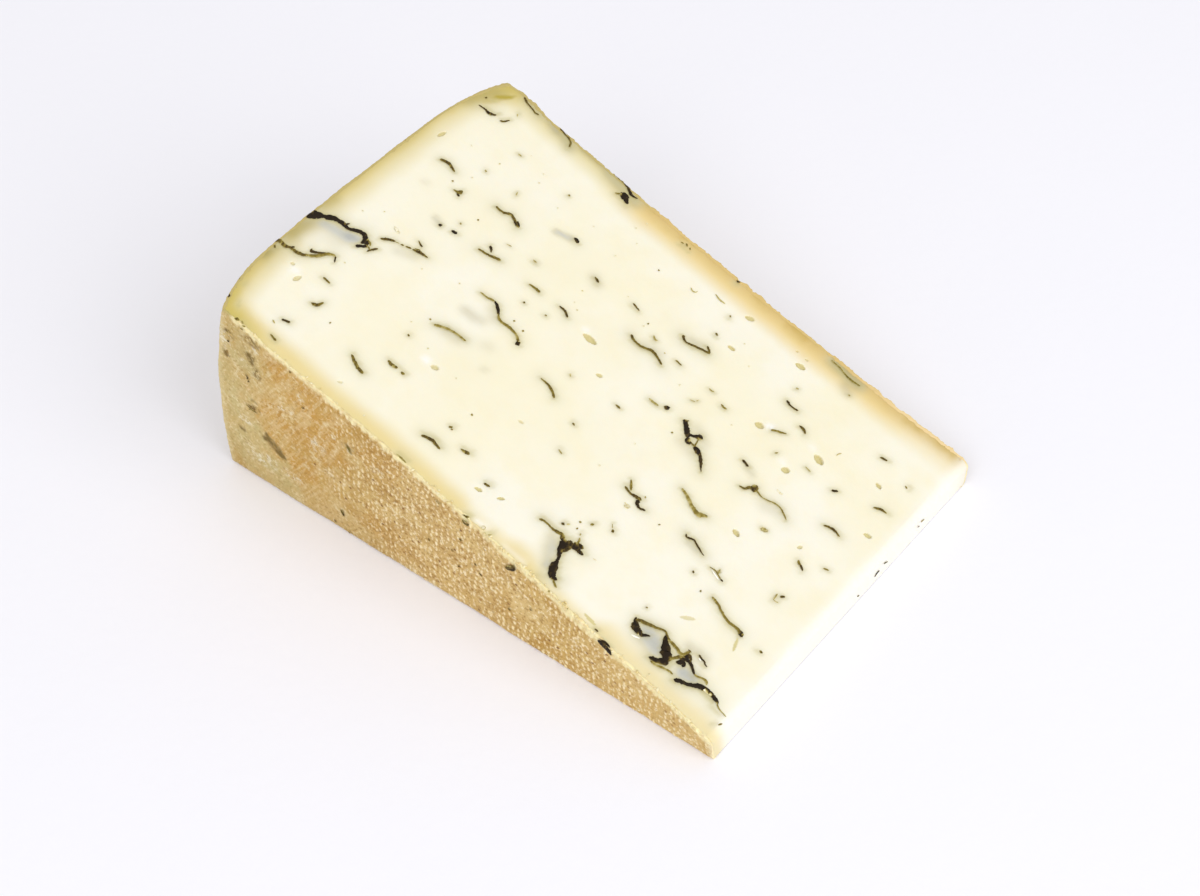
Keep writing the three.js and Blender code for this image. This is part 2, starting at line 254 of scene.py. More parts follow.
# Herb shreds in the upper cut face. Each has a darkness, then points with distance from the wheel's
# axis, distance from the near rind, and width, in millimetres.
upperShreds = [
    # From the heel edge
    [1.0, (136.8, 28.2, 0.6), (136.2, 28.1, 0.8), (135.4, 28.2, 0.8), (134.7, 28.6, 0.9),
     (134, 29.1, 1.1), (133.2, 29.7, 1.1), (132.3, 29.95, 0.85), (131.4, 30.1, 0.9), (130.7, 30.1, 0.8),
     (130, 30.1, 0.65), (129.3, 30.4, 0.75), (128.6, 30.85, 0.8), (127.9, 31.2, 0.85), (127.3, 31.4, 0.9),
     (126.7, 31.2, 0.9), (126.1, 30.9, 1.0), (125.6, 30.5, 1.1), (125.1, 30, 0.9)],
    [1.0, (136.7, 26, 0.5), (136.5, 26.8, 1.2), (136.1, 27.5, 1.6), (135.5, 28.1, 1.5),
     (134.9, 28.5, 1.0)],
    [0.9, (130.9, 30.4, 0.5), (130.6, 30.8, 0.35), (130.4, 31.1, 0.2)],
    [0.95, (126.4, 28.3, 0.6), (125.9, 28.7, 0.7), (125.5, 29.1, 0.65), (125.1, 29.6, 0.75),
     (124.9, 30.1, 0.6)],
    [0.95, (126.1, 29.4, 0.5), (126, 30, 0.8), (126.1, 30.8, 0.9)],
    [0.4, (124.8, 29.9, 0.4), (124.4, 29.8, 0.35), (124, 29.6, 0.35)],
    [0.7, (124.1, 28.9, 0.25), (123.9, 29.5, 0.4), (123.6, 30.1, 0.45), (123.3, 30.6, 0.45),
     (123.1, 30.9, 0.3)],
    [0.3, (125.6, 31, 0.3), (125, 30.8, 0.4), (124.5, 30.3, 0.3)],
    [0.5, (136.7, 17.6, 0.3), (136.5, 18.5, 0.7), (136, 18.5, 0.8), (135.3, 18.4, 0.9),
     (134.7, 18.5, 0.75), (134.1, 18.8, 0.5), (133.4, 18.9, 0.6), (132.6, 19, 0.65), (131.9, 19.2, 0.75),
     (131.3, 19.5, 0.65), (130.7, 20, 0.6)],
    [0.3, (130.9, 19.8, 0.5), (130.1, 20.6, 0.65), (129.5, 21.3, 0.75), (129, 22.1, 0.75),
     (128.6, 22.8, 0.7), (128.2, 23.3, 0.65), (127.7, 23.6, 0.5), (127.2, 23.7, 0.5)],
    [0.9, (127.2, 23.7, 0.35), (126.9, 23.4, 0.3), (126.6, 22.9, 0.3), (126.4, 22.6, 0.2)],
    [0.75, (131.2, 21.7, 0.4), (130.9, 21.2, 0.6), (130.4, 21.5, 0.5), (129.9, 21.9, 0.45),
     (129.4, 22.3, 0.4), (128.9, 22.9, 0.3)],
    [0.8, (133.8, 19.2, 0.4), (133.6, 19.5, 0.35)],
    [0.6, (136.2, 17.1, 0.3), (135.8, 16.7, 0.35)],
    [0.6, (124.4, 33, 0.4), (123.8, 33.5, 0.65), (123.2, 34, 0.55), (122.6, 34.4, 0.5),
     (122.1, 34.7, 0.35)],
    [0.35, (122, 34.6, 0.14), (121.3, 34.9, 0.18)],
    [0.5, (121, 34.9, 0.3), (120.4, 35.2, 0.4)],
    [0.5, (120.1, 35.3, 0.25), (119.6, 35.5, 0.4), (119, 35.7, 0.35)],
    [0.6, (118.8, 35.8, 0.3), (118, 36, 0.55), (117.3, 36.3, 0.7), (116.4, 36.4, 0.5),
     (115.6, 36.5, 0.25)],
    [0.5, (118.6, 36.2, 0.2), (117.6, 36.7, 0.35)],
    [0.7, (119.3, 38.1, 0.2), (117.9, 37.5, 0.5)],
    # Forked shred beside the near rind
    [0.5, (65.5, 10.2, 0.5), (64.9, 10.5, 0.45), (64, 10.6, 0.4), (63, 10.5, 0.4), (62.1, 10.5, 0.55),
     (61.4, 10.7, 0.65), (60.7, 10.8, 0.7), (60.2, 10.5, 0.9), (59.7, 10.2, 1.0)],
    [0.95, (60, 10.3, 0.9), (59.5, 9.9, 1.3), (59.2, 9.3, 1.4), (59, 8.7, 1.25), (58.8, 8.1, 1.0),
     (58.5, 7.5, 0.8), (58.2, 7, 0.65), (58, 6.4, 0.6), (57.9, 5.9, 0.9), (57.8, 5.2, 1.4),
     (57.5, 4.6, 1.55), (57.2, 4, 1.5), (56.8, 3.5, 1.4), (56.3, 3.3, 1.1), (55.9, 3.3, 0.8),
     (55.6, 3.4, 0.6)],
    [0.4, (56.1, 2.9, 0.4), (55.5, 2.6, 0.4), (55, 2.3, 0.4), (54.7, 2.2, 0.25)],
    [0.7, (58.5, 8.3, 0.6), (58.3, 9.1, 0.9), (58.3, 9.8, 1.1), (58.4, 10.5, 1.0), (58.9, 11.1, 0.5)],
    [0.85, (59.2, 10.2, 1.1), (57.9, 10.5, 1.1), (57.2, 10.6, 1.0), (56.4, 10.5, 0.8), (55.7, 10.5, 0.6),
     (55.4, 10.6, 0.4)],
    [0.7, (58, 10.9, 0.9), (57.3, 11.3, 1.1), (56.7, 11.4, 0.9), (56.2, 11.5, 0.6)],
    [0.4, (57.6, 11.6, 0.5), (57.7, 12.1, 0.4), (58, 12.7, 0.25)],
    [0.3, (58.3, 13.1, 0.25), (58.4, 13.5, 0.25)],
    # Tangle near the nose
    [0.95, (41.2, 8.2, 0.3), (40.7, 7.4, 0.9), (40.3, 6.9, 1.3), (39.7, 6.5, 1.4), (39, 6.3, 1.1),
     (38.4, 6.25, 0.9)],
    [0.9, (40.8, 6.1, 0.2), (40, 6.2, 0.6), (39.2, 6.2, 0.8)],
    [0.95, (38.9, 6.3, 0.7), (38.3, 6.3, 0.7), (37.8, 6.7, 0.5), (37.1, 7.2, 0.25)],
    [0.5, (40.8, 7.9, 0.5), (40, 8.3, 0.7), (39, 8.6, 0.65), (38.2, 8.9, 0.6), (37.2, 9.3, 0.5),
     (36.3, 9.7, 0.4), (35.6, 9.8, 0.4), (35.2, 9.5, 0.4), (34.6, 9.2, 0.4), (34, 9, 0.4)],
    [0.95, (35.2, 9.4, 0.4), (34.8, 8.7, 0.9), (34.3, 8.05, 1.3), (33.8, 7.4, 1.7), (33.3, 6.9, 1.95),
     (32.7, 6.3, 1.95), (32.2, 5.9, 1.8), (31.8, 5.6, 1.4)],
    [0.9, (34.9, 3.9, 0.5), (34.2, 4.1, 0.9), (33.5, 4.3, 1.1), (32.8, 4.7, 1.2), (32.1, 5.1, 1.2),
     (31.6, 5.4, 0.8)],
    [0.35, (34.2, 3.5, 0.35), (33, 3.6, 0.4), (32, 4, 0.5), (31.3, 4.2, 0.4), (30.7, 4.4, 0.4),
     (29.8, 4.4, 0.35)],
    [0.35, (34.2, 9, 0.45), (33.2, 8.9, 0.6), (32.2, 8.75, 0.6), (31.3, 8.5, 0.7), (30.7, 8.7, 0.7),
     (30.4, 9.5, 0.6), (30.3, 10, 0.4)],
    [0.4, (32.1, 5.9, 0.35), (31.8, 6.5, 0.5), (31.4, 7.2, 0.55), (31, 7.8, 0.6), (30.5, 8.3, 0.5)],
    [0.9, (30.9, 6.7, 0.5), (30.3, 7, 0.85), (30.2, 7.6, 0.95), (30.2, 8.2, 1.0), (30.1, 8.9, 0.9),
     (30, 9.6, 0.5)],
    [0.9, (29.4, 6.7, 0.5), (29.5, 7.2, 0.7), (29.7, 7.8, 0.8)],
    [0.85, (30.1, 8.3, 0.8), (29.3, 8.4, 0.8), (28.6, 8.2, 0.65), (28, 7.8, 0.55), (27.4, 7.3, 0.45),
     (27, 7.1, 0.35)],
    [0.8, (30, 9.6, 0.4), (29.6, 9.3, 0.5), (29, 8.8, 0.5)],
    [0.8, (30.7, 10.1, 0.3), (30, 10, 0.3)],
    [0.3, (27.1, 7.1, 0.4), (26.4, 7.2, 0.35), (25.8, 7.5, 0.4), (25.1, 7.7, 0.5), (24.6, 7.6, 0.5),
     (24.3, 7.1, 0.4)],
    [0.95, (29.1, 3.8, 0.6), (28.5, 4.1, 0.8), (27.8, 4.4, 0.8), (27.1, 4.6, 0.7), (26.4, 5, 0.7),
     (25.9, 5.4, 0.8), (25.2, 5.9, 1.0), (24.5, 6.2, 1.1), (23.6, 6.4, 1.0), (22.8, 6.5, 0.8),
     (22, 6.3, 0.8), (21.4, 6.2, 0.75), (21, 6, 0.6), (20.7, 5.7, 0.3)],
    [0.3, (20.9, 5.8, 0.3), (20.3, 5.4, 0.28), (19.6, 5.2, 0.25), (18.9, 5.1, 0.22), (18.2, 5, 0.2)],
    [0.1, (23.9, 6.15, 0.3), (23.3, 6.25, 0.4), (22.6, 6.4, 0.35)],
    [0.9, (28.7, 10.7, 0.45), (28, 10.45, 0.35), (27.2, 10.3, 0.3), (26.8, 10, 0.25), (26.3, 9.9, 0.2)],
    # Painted highlights: the next two strips are white glints on the shreds beside them
    [-0.5, (28.4, 10.15, 0.25), (27.8, 10.05, 0.3)],
    [-0.5, (39.7, 4.9, 0.2), (39.2, 5.1, 0.32), (38.6, 5.3, 0.3), (38.2, 5.5, 0.2)],
    # Through the middle
    [0.85, (59.9, 45.7, 0.5), (59.5, 45.8, 0.8), (58.9, 45.4, 0.95), (58.3, 44.8, 1.1), (57.6, 44.2, 1.1),
     (56.9, 43.6, 0.9)],
    [0.6, (59.5, 46, 0.3), (59, 46.5, 0.25)],
    [0.9, (57.3, 44.2, 0.6), (56.4, 44.6, 0.55), (55.9, 45, 0.9), (55.5, 45.3, 1.2), (55.3, 45.8, 0.8)],
    [0.95, (57, 43.6, 0.7), (56.7, 43.1, 1.1), (56.3, 42.8, 1.1), (55.8, 42.7, 0.5)],
    [0.5, (55.5, 45, 0.3), (55.2, 44.2, 0.25), (55.1, 43.6, 0.3), (54.9, 43.1, 0.4)],
    [0.5, (56.3, 43.2, 0.4), (55.6, 43.1, 0.35), (55, 43, 0.6)],
    [0.8, (55, 43, 0.6), (54.4, 42.8, 1.1), (53.8, 42.6, 1.1), (53.2, 42.3, 0.7), (52.6, 41.8, 0.7),
     (52, 41.2, 0.6), (51.4, 40.4, 0.35), (50.8, 39.7, 0.2)],
    [0.3, (103.9, 38.3, 0.3), (102.2, 38.4, 0.45), (100.8, 38.8, 0.45)],
    [0.9, (100.9, 38.9, 0.35), (99.9, 38.5, 0.6), (99, 37.8, 0.65), (98.2, 37, 0.4)],
    [0.35, (98.4, 37.1, 0.35), (97.7, 36.5, 0.55), (96.8, 36.3, 0.6), (95.6, 36.5, 0.6),
     (94.2, 36.5, 0.6), (92.8, 36.1, 0.5), (92, 35.5, 0.5)],
    [0.95, (92.2, 35.5, 0.6), (91.8, 35.1, 1.0), (91.4, 34.9, 0.7)],
    [0.3, (105, 26.4, 0.6), (103.7, 27.2, 0.6), (101.8, 27.9, 0.5), (98.7, 28.2, 0.4)],
    [0.5, (110.8, 10.4, 0.4), (108.4, 9.3, 0.7), (106.7, 8.9, 0.6)],
    [0.5, (114.8, 55.5, 0.5), (112.9, 55.5, 0.5), (111.6, 56.3, 0.6), (110.5, 55.9, 0.6),
     (108.9, 55.1, 0.6)],
    [0.9, (110.2, 55.7, 0.6), (108.9, 55.2, 0.7), (109.7, 56.1, 0.4)],
    [0.6, (129.3, 55.5, 0.5), (127.9, 56, 0.7), (125.4, 55.4, 0.4)],
    [0.5, (110.6, 45.4, 0.4), (108.4, 45.8, 0.5), (107.1, 46.3, 0.6), (106, 46.6, 0.6)],
    [0.8, (109.5, 47.7, 0.7), (108.9, 47.2, 0.5), (108.4, 46.6, 0.2)],
    [0.5, (78.4, 53, 0.5), (77.6, 52.5, 0.5), (75.8, 52.3, 0.5), (73.2, 53.2, 0.6), (71.6, 52.8, 0.5),
     (70.2, 52.2, 0.4)],
    [0.6, (71.5, 60.5, 0.6), (70.5, 59.8, 0.4), (68.4, 60.3, 0.5), (66.6, 60.9, 0.5), (65.5, 61.2, 0.5),
     (66.7, 62.2, 0.4)],
    [0.5, (84, 32.6, 0.25), (82.3, 32.6, 0.45), (80.9, 32.2, 0.5), (79.6, 31.3, 0.4)],
    [0.75, (133.1, 71.4, 0.25), (131.4, 71.6, 0.45), (130.3, 71.5, 0.75), (129.7, 71.8, 0.6),
     (129.2, 72.3, 0.3)],
    [0.7, (127.8, 71.7, 0.4), (127.1, 72.3, 0.4), (126.6, 73.4, 0.2)],
    [0.7, (48.6, 64.4, 0.6), (47.6, 64, 0.4), (45.7, 64.2, 0.4)],
    [0.5, (44, 42.8, 0.3), (43, 43, 0.4), (42.3, 44, 0.7), (41.5, 44.7, 1.1), (41, 44.2, 0.6)],
    [0.6, (42, 44.4, 0.6), (41.4, 44.1, 0.9), (41, 44.5, 0.5)],
    [0.4, (41, 44.4, 0.5), (39.6, 44.1, 0.24), (38.4, 44.4, 0.24), (37, 44.9, 0.3), (35.6, 44.9, 0.3),
     (34.4, 44.3, 0.3), (33.4, 43.7, 0.2)],
    [0.4, (33.9, 21.2, 0.4), (32.5, 21, 0.5), (30.7, 20.2, 0.5), (28.6, 19.6, 0.5), (26.5, 19.7, 0.7),
     (25.6, 19.4, 0.8)],
    [0.9, (26.1, 19.7, 0.8), (25.6, 19.3, 1.0), (25.5, 18.9, 0.5)],
    [0.85, (44.9, 27.6, 0.4), (44.5, 27.2, 0.35), (43.9, 27.4, 0.45), (43.1, 27.7, 0.35),
     (42.3, 27.4, 0.35), (41.5, 27.1, 0.35), (40.8, 26.8, 0.25), (39.9, 26.6, 0.15)],
    [0.25, (51.2, 34.3, 0.4), (49.6, 33.8, 0.65), (47.5, 32.8, 0.75), (45.4, 32.5, 0.95), (44.9, 33, 0.7),
     (44.2, 33.1, 0.3)],
    [0.6, (44.9, 33.1, 0.4), (44.3, 33.4, 0.3)],
    [0.55, (58.8, 26.8, 0.5), (57, 26.4, 0.5), (55.7, 26.7, 0.7), (54.9, 26.8, 0.5)],
    [0.8, (55.3, 26.5, 0.8), (55, 25.6, 0.7), (54.2, 25.3, 0.5), (53.1, 25.7, 0.4)],
    [0.4, (57.5, 26.9, 0.4), (58.1, 27.7, 0.5), (58.9, 28.7, 0.3)],
    [0.5, (37.8, 25.6, 0.12), (36.6, 25.75, 0.22), (35.6, 25.4, 0.22), (34.9, 25.1, 0.3)],
    [0.9, (34.9, 25.1, 0.35), (34.3, 25.05, 0.4)],
    [0.3, (36.1, 26.6, 0.14), (36, 26, 0.35), (35.8, 25.6, 0.3)],
    [0.55, (91.1, 7.3, 0.5), (90.2, 7.7, 0.6), (88.9, 8, 0.65), (87.8, 7.8, 0.55), (86.9, 7.7, 0.4)],
    # Along the far rind
    [0.65, (128.4, 80.1, 0.4), (127.6, 79.6, 0.45), (126.6, 79.3, 0.35), (125.2, 79, 0.3),
     (124.4, 78.8, 0.35), (123.6, 79, 0.3)],
    [0.6, (118.6, 79.8, 0.6), (117.6, 79.6, 0.4), (117, 79.4, 0.3), (115.9, 79.2, 0.35), (115, 78.7, 0.4),
     (114.5, 77.6, 0.35)],
    [0.3, (117.3, 79.9, 0.2), (116.2, 79.6, 0.2), (115.4, 79.2, 0.2)],
    [0.95, (100.6, 77.2, 0.5), (99.9, 77, 1.2), (99.2, 76.8, 1.5), (98.6, 76.4, 1.0), (97.9, 76, 0.4)],
    [0.9, (100.3, 77.5, 0.4), (99.3, 77.4, 0.7), (98.6, 77.3, 0.4)],
    [0.4, (101.3, 76.2, 0.25), (100.8, 76.4, 0.4), (100.5, 76.9, 0.35)],
    [0.85, (104.4, 79.6, 0.3), (103, 79.6, 0.5), (101.5, 79.5, 0.5), (100.4, 79.2, 0.6),
     (99.6, 78.7, 0.6), (98.8, 78.3, 0.7), (98.1, 78.4, 0.4), (97.4, 78.6, 0.25)],
    [0.38, (47.9, 78.5, 0.3), (45.6, 78.4, 0.35), (43.8, 78, 0.4), (42.2, 77.9, 0.5), (40.4, 78.2, 0.3)],
    # Rings and pale spots beside the near edge
    [0.5, (75.5, 0.3, 0.35), (75.2, 0.7, 0.6), (74.8, 1, 0.55), (74.4, 1.35, 0.3)],
    [0.2, (74.9, 0.4, 0.5), (74.4, 0.5, 0.6), (74.2, 0.9, 0.35)],
    [0.1, (71.5, 1.3, 0.12), (71.6, 1.8, 0.14), (71.2, 2, 0.12), (70.9, 1.6, 0.14), (71.2, 1.2, 0.12),
     (71.5, 1.3, 0.12)],
    [0.1, (70.6, 0.5, 0.12), (70.6, 1, 0.14), (70.1, 1, 0.14), (69.9, 0.5, 0.12), (70.3, 0.35, 0.12),
     (70.6, 0.5, 0.12)],
    [0.2, (69.8, 1.2, 0.2), (69.4, 1.6, 0.25)],
    [0.85, (43, -0.1, 0.7), (42.3, 0, 1.3), (41.5, -0.1, 1.5), (40.8, -0.1, 0.9)],
    # Short ones
    [0.5, (84.4, 10.5, 0.45), (83.6, 10.6, 0.6), (82.6, 10.8, 0.75)],
    [0.55, (77, 8.4, 0.45), (75.8, 8.6, 0.5)],
    [0.7, (62.1, 12.5, 0.5), (61.7, 12.8, 0.6)],
    [0.0, (61.4, 13, 0.4), (60.9, 13.6, 0.25)],
    [0.4, (58.3, 16.1, 0.5), (57.9, 16.7, 0.4)],
    [0.6, (54.4, 17.9, 0.6), (54.9, 18.3, 0.55)],
    [0.4, (55.1, 18.5, 0.15), (55.6, 19.1, 0.14)],
    [-0.1, (53.7, 11.3, 0.2), (52.9, 11.4, 0.2)],
    [0.0, (56.8, 24.2, 0.2), (56.2, 24, 0.25), (55.8, 24.3, 0.2)],
    [-0.05, (56.6, 23.7, 0.2), (56, 23.5, 0.25), (55.5, 23.8, 0.2)],
    [0.2, (61.7, 50.3, 0.14), (61.1, 50.5, 0.2), (60.8, 50.7, 0.14)],
    [0.2, (60.7, 51, 0.14), (60.5, 51.5, 0.18)],
    [0.8, (45, 1.1, 0.35), (44.2, 1.1, 0.35)],
    [0.5, (18.3, 2.8, 0.35), (17.9, 3.5, 0.3)],
    [0.6, (21.4, 19.3, 0.4), (20.7, 19.3, 0.45)],
    [0.65, (39.5, 22.75, 0.3), (39.1, 22.5, 0.35)],
    [0.3, (72.1, 23.6, 0.3), (71.1, 23.3, 0.3)],
    [0.5, (73.9, 29.8, 0.4), (73.3, 29.6, 0.35)],
    [0.3, (25.5, 29, 0.2), (25.7, 30.5, 0.3)],
    [0.2, (25.4, 29, 0.2), (24.5, 29.2, 0.2)],
    [0.6, (25, 30.4, 0.6), (24.3, 31.1, 0.4)],
    [0.5, (70.8, 38.8, 0.35), (69.7, 38.8, 0.5)],
    [0.4, (26.9, 38.9, 0.45), (26.6, 38.5, 0.6), (26, 38.3, 0.45)],
    [0.75, (26.7, 38.4, 0.3), (26, 38.3, 0.4), (25.1, 37.7, 0.4)],
    [0.9, (134.4, 3.4, 0.4), (134.1, 3.0, 0.65), (133.8, 2.7, 0.4)],
    [0.15, (114.2, 61.3, 0.25), (113.9, 60.5, 0.3)],
    [0.3, (116.8, 47.3, 0.3), (116.5, 47.1, 0.3)],
    # Painted highlight: a white glint beside a shred
    [-0.5, (37.2, 25.4, 0.16), (36.2, 25.1, 0.28), (35.1, 24.8, 0.2)],
    [-0.12, (38.6, 47.6, 0.25), (37.7, 47.4, 0.4), (37, 47.5, 0.3)],
    [-0.15, (113.8, 68.5, 0.5), (113.1, 68.7, 0.4)],
    [-0.15, (118.3, 69.9, 0.25), (117.8, 70.3, 0.25)],
    [-0.1, (124.6, 37.1, 0.3), (123.8, 36.8, 0.45), (123, 36.5, 0.3)],
    [0.15, (60.7, 55.1, 0.2), (60.1, 55, 0.3), (59.5, 55.2, 0.25)],
    [0.7, (135.6, 6.9, 0.35), (135.3, 7.2, 0.3)],
    [0.4, (130, 0.3, 0.35), (129.6, 0.5, 0.6), (129.1, 0.6, 0.5)],
    [0.35, (128.7, 0.9, 0.25), (128.3, 0.7, 0.35)],
    [0.3, (128.1, 0.2, 0.3), (127.4, 0.45, 0.4)],
    [0.5, (123.4, 2.7, 0.3), (121.8, 2.4, 0.5)],
    [0.1, (125.3, 5.2, 0.3), (124.5, 4.9, 0.3)],
    [0.8, (124.3, 6.5, 0.45), (122.8, 7.1, 0.5)],
    [0.5, (123.2, 13, 0.5), (122.2, 13.3, 0.7), (121.7, 14.7, 0.4)],
    [0.5, (125.5, 18.7, 0.4), (123.8, 18.6, 0.4)],
    [0.45, (105.5, 14.4, 0.45), (104.2, 14.2, 0.7), (103.3, 14.5, 0.65)],
    [0.45, (102.3, 14.4, 0.6), (101.5, 14.3, 0.65)],
    [0.5, (106.8, 21.2, 0.35), (106.4, 21.1, 0.35)],
    [0.3, (91.6, 1.3, 0.25), (90.4, 1.3, 0.4), (89.2, 1.2, 0.3)],
    [1.0, (119.2, 44, 0.6), (118.7, 44, 0.7)],
    [1.0, (116.7, 44.6, 0.5), (115.6, 45, 0.7)],
    [0.5, (97, 42.9, 0.4), (96.7, 42.8, 0.4)],
    [0.4, (92.4, 43.8, 0.35), (92, 43.8, 0.35)],
    [0.4, (98.9, 46.7, 0.3), (97.6, 46.9, 0.5), (96.3, 46.9, 0.6)],
    [0.7, (91.8, 47.4, 0.3), (90.3, 47.3, 0.5), (89.1, 46.6, 0.5)],
    [0.75, (64.2, 45.3, 0.6), (63.6, 45.6, 1.0), (63.3, 46, 0.5)],
    [0.2, (67.3, 44.6, 0.3), (66.3, 44.5, 0.5), (65, 44.6, 0.4)],
    [0.4, (122.8, 52.1, 0.3), (122.1, 52.2, 0.5), (121.5, 52.6, 0.9), (121.4, 53.2, 0.5)],
    [0.75, (121.8, 52, 0.5), (121, 51.7, 0.5)],
    [0.6, (82.6, 58.8, 0.4), (80.7, 58.4, 0.3)],
    [0.55, (91.4, 57.7, 0.3), (90.7, 57.5, 0.5), (90.1, 57.2, 0.35)],
    [0.2, (75.3, 56.2, 0.3), (74.5, 55.6, 0.4), (74.1, 55.8, 0.25)],
    [0.5, (69, 55.1, 0.35), (67.5, 55, 0.3)],
    [0.5, (67.3, 65.8, 0.4), (66.8, 65.5, 0.4)],
    [0.9, (99.9, 61.7, 0.35), (99.2, 61.55, 0.75), (98.6, 61.45, 0.75)],
    [0.3, (121.8, 60.4, 0.3), (121.4, 60.2, 0.35)],
    [0.3, (120.1, 68.4, 0.3), (119.3, 68.5, 0.4)],
    [0.3, (107.1, 68.6, 0.35), (106.9, 68.4, 0.3)],
    [0.4, (67.9, 71.3, 0.35), (67.6, 71, 0.3)],
    [0.1, (72.9, 72.9, 0.2), (71.6, 72.5, 0.4), (70.2, 72.6, 0.3)],
    [0.6, (133.5, 73.9, 0.3), (133.2, 73.8, 0.3)],
    [0.2, (126.6, 75.8, 0.35), (126.1, 75.2, 0.2)],
    [0.4, (85.1, 77.2, 0.3), (84.5, 77.4, 0.4)],
    [0.5, (84.2, 77.8, 0.3), (83.8, 77.6, 0.4), (83.6, 77.3, 0.35)],
    [0.4, (83, 77.5, 0.3), (82.7, 77.2, 0.3)],
    [0.75, (71.8, 78.6, 0.5), (71.5, 78.8, 0.8)],
    [0.8, (46.9, 47.6, 0.5), (45.2, 47.3, 0.5)],
    [0.4, (57, 54.1, 0.2), (56.2, 53.9, 0.5), (55.6, 54, 0.4)],
    [0.4, (43.4, 53.3, 0.3), (43, 53.9, 0.3)],
    [0.4, (46.9, 56.8, 0.4), (46, 57.5, 0.5), (45, 58, 0.4), (44.3, 58.4, 0.15)],
    [0.2, (37.5, 55.5, 0.3), (36.2, 55.3, 0.3)],
    [0.9, (31, 55.2, 0.5), (30, 56, 0.5)],
    [0.6, (43.6, 61.7, 0.3), (42.6, 61.7, 0.6), (42.2, 61.5, 0.5), (41.7, 61.1, 0.35)],
    [0.3, (49, 68, 0.35), (48.5, 68.2, 0.3)],
    [0.4, (88.8, 12.3, 0.4), (88.3, 12.6, 0.45)],
    [0.35, (88.2, 12.2, 0.35), (88, 12.3, 0.3)],
    [0.2, (35.7, 39, 0.5), (34.8, 39.3, 0.5)],
    [0.6, (41.1, 11, 0.3), (40.9, 11, 0.3)],
    [0.2, (80.9, 37.5, 0.25), (80.4, 37.1, 0.3)],
    [0.4, (40.8, 74.8, 0.3), (40.6, 74.8, 0.3)],
    [0.1, (34.7, 62, 0.2), (34.6, 62.6, 0.25), (34.3, 63.1, 0.2)],
    [0.1, (77.1, 70.3, 0.2), (76.4, 69.9, 0.35), (75.8, 70.2, 0.25), (75.7, 70.7, 0.15)],
    [0.2, (101.9, 51.6, 0.25), (101.1, 51.6, 0.45)],
    [0.12, (107.7, 50.4, 0.2), (106.7, 50.7, 0.25)],
    # Nose end beside the far rind
    [0.6, (27.8, 48.2, 0.35), (26, 48.8, 0.5), (24.2, 48.5, 0.3)],
    [0.5, (23.2, 58.4, 0.3), (21.8, 59.2, 0.55), (20.6, 59.3, 0.3)],
    [0.7, (28.5, 68.2, 0.4), (27, 68.6, 0.5)],
    [0.4, (22.6, 41, 0.35), (21.6, 41.4, 0.35)],
    [0.5, (21.4, 66.9, 0.4), (20.8, 66.6, 0.35)],
]

# Specks of leaf, plain ones and faint ones: distance from the axis and from the near rind
tinySpecks = [
    (117.9, 12.4), (87.6, 17.2), (95.4, 38.3), (92.9, 37.9), (106.2, 26.8), (124.2, 53.5), (114.9, 50.4),
    (59.9, 15.2), (59.5, 13.8), (36, 20.6), (49.5, 25.4), (54.8, 27.8), (55.2, 0.7), (50.8, 0.6),
    (133.3, 74), (106.9, 68.6), (77.7, 57.4), (59.7, 42.1), (83.9, 68.5), (136.7, 53.7),
]
faintSpecks = [
    (108.2, 23.8), (125.1, 24), (94.6, 20.8), (107.8, 36.7), (100.7, 2.7), (65.1, 51.4), (71.4, 54.7),
    (78, 56.3), (64.8, 26.6), (63.1, 35.1), (106.5, 64.5), (32.8, 1.4), (122.3, 57), (120.9, 63.7),
    (112.8, 66.3), (127.4, 62.7), (93.2, 72.8), (92.4, 75.3), (90.7, 70), (91.8, 64.6), (99, 66.6),
    (91, 53.4), (90.4, 50.2), (88.9, 49.3), (102.3, 21.7), (114.6, 33.8), (62, 68.2), (58.3, 64.8),
    (52.8, 52), (128, 38.1), (130.8, 35.1), (84.2, 59.2),
]

# Leaf that shows through as an olive stain at the far end of the heel: strength, then points
upperStains = [
    [1.0, (134, 75.4, 1.3), (133, 76.3, 1.7), (131.6, 77.4, 1.2)],
    [0.3, (134.2, 73, 1.4), (133, 74.6, 2.0)],
]

# Whitish spots, in the manner of the deep shreds below: some are real white smears, as beside the near
# edge, and those beside the eyes are painted highlights
whiteSpotsAndGlints = [
    (73, 1.2, 71, 1.6, 0.6, 0.65), (101.3, 19.5, 100.7, 19.5, 0.75, 1.0),
    (47.7, 57.3, 47.3, 57.6, 0.7, 0.9), (130.2, 15.9, 129.8, 16.1, 0.8, 0.7),
    (41.6, 53.2, 41, 53, 0.8, 0.45), (66.5, 1, 62, 1.4, 0.7, 0.4), (39.2, 60, 38.6, 59.6, 0.7, 0.45),
    (133, 22.6, 132.4, 25.4, 1.6, 0.3), (85.3, 47.2, 84.9, 47.4, 0.7, 0.6),
]

# Olive darkening beside shreds that run into the rind
darkMargins = [
    (118.7, 79.8, 114.6, 78, 1.3, 0.6), (104.6, 79.6, 97.6, 78.2, 1.6, 0.65),
    (112, 79.8, 105, 79.8, 1.0, 0.35), (128.5, 80, 123.5, 79, 1.2, 0.35),
    (136.6, 14.4, 136.4, 17, 1.1, 0.65), (136.4, 20, 136.3, 26, 1.7, 0.45),
    (136.4, 29.6, 136, 33, 1.5, 0.3), (46.8, 79, 41, 78.4, 1.5, 0.8), (136, 71, 135.4, 76, 2.2, 0.4),
    (58.4, 1.4, 57, 2.4, 1.0, 0.3), (135.2, 14, 134.6, 21, 2.0, 0.14), (103.6, 33, 101, 32.7, 1.0, 0.12),
    (135.2, 22, 135, 25, 1.2, 0.25),
]

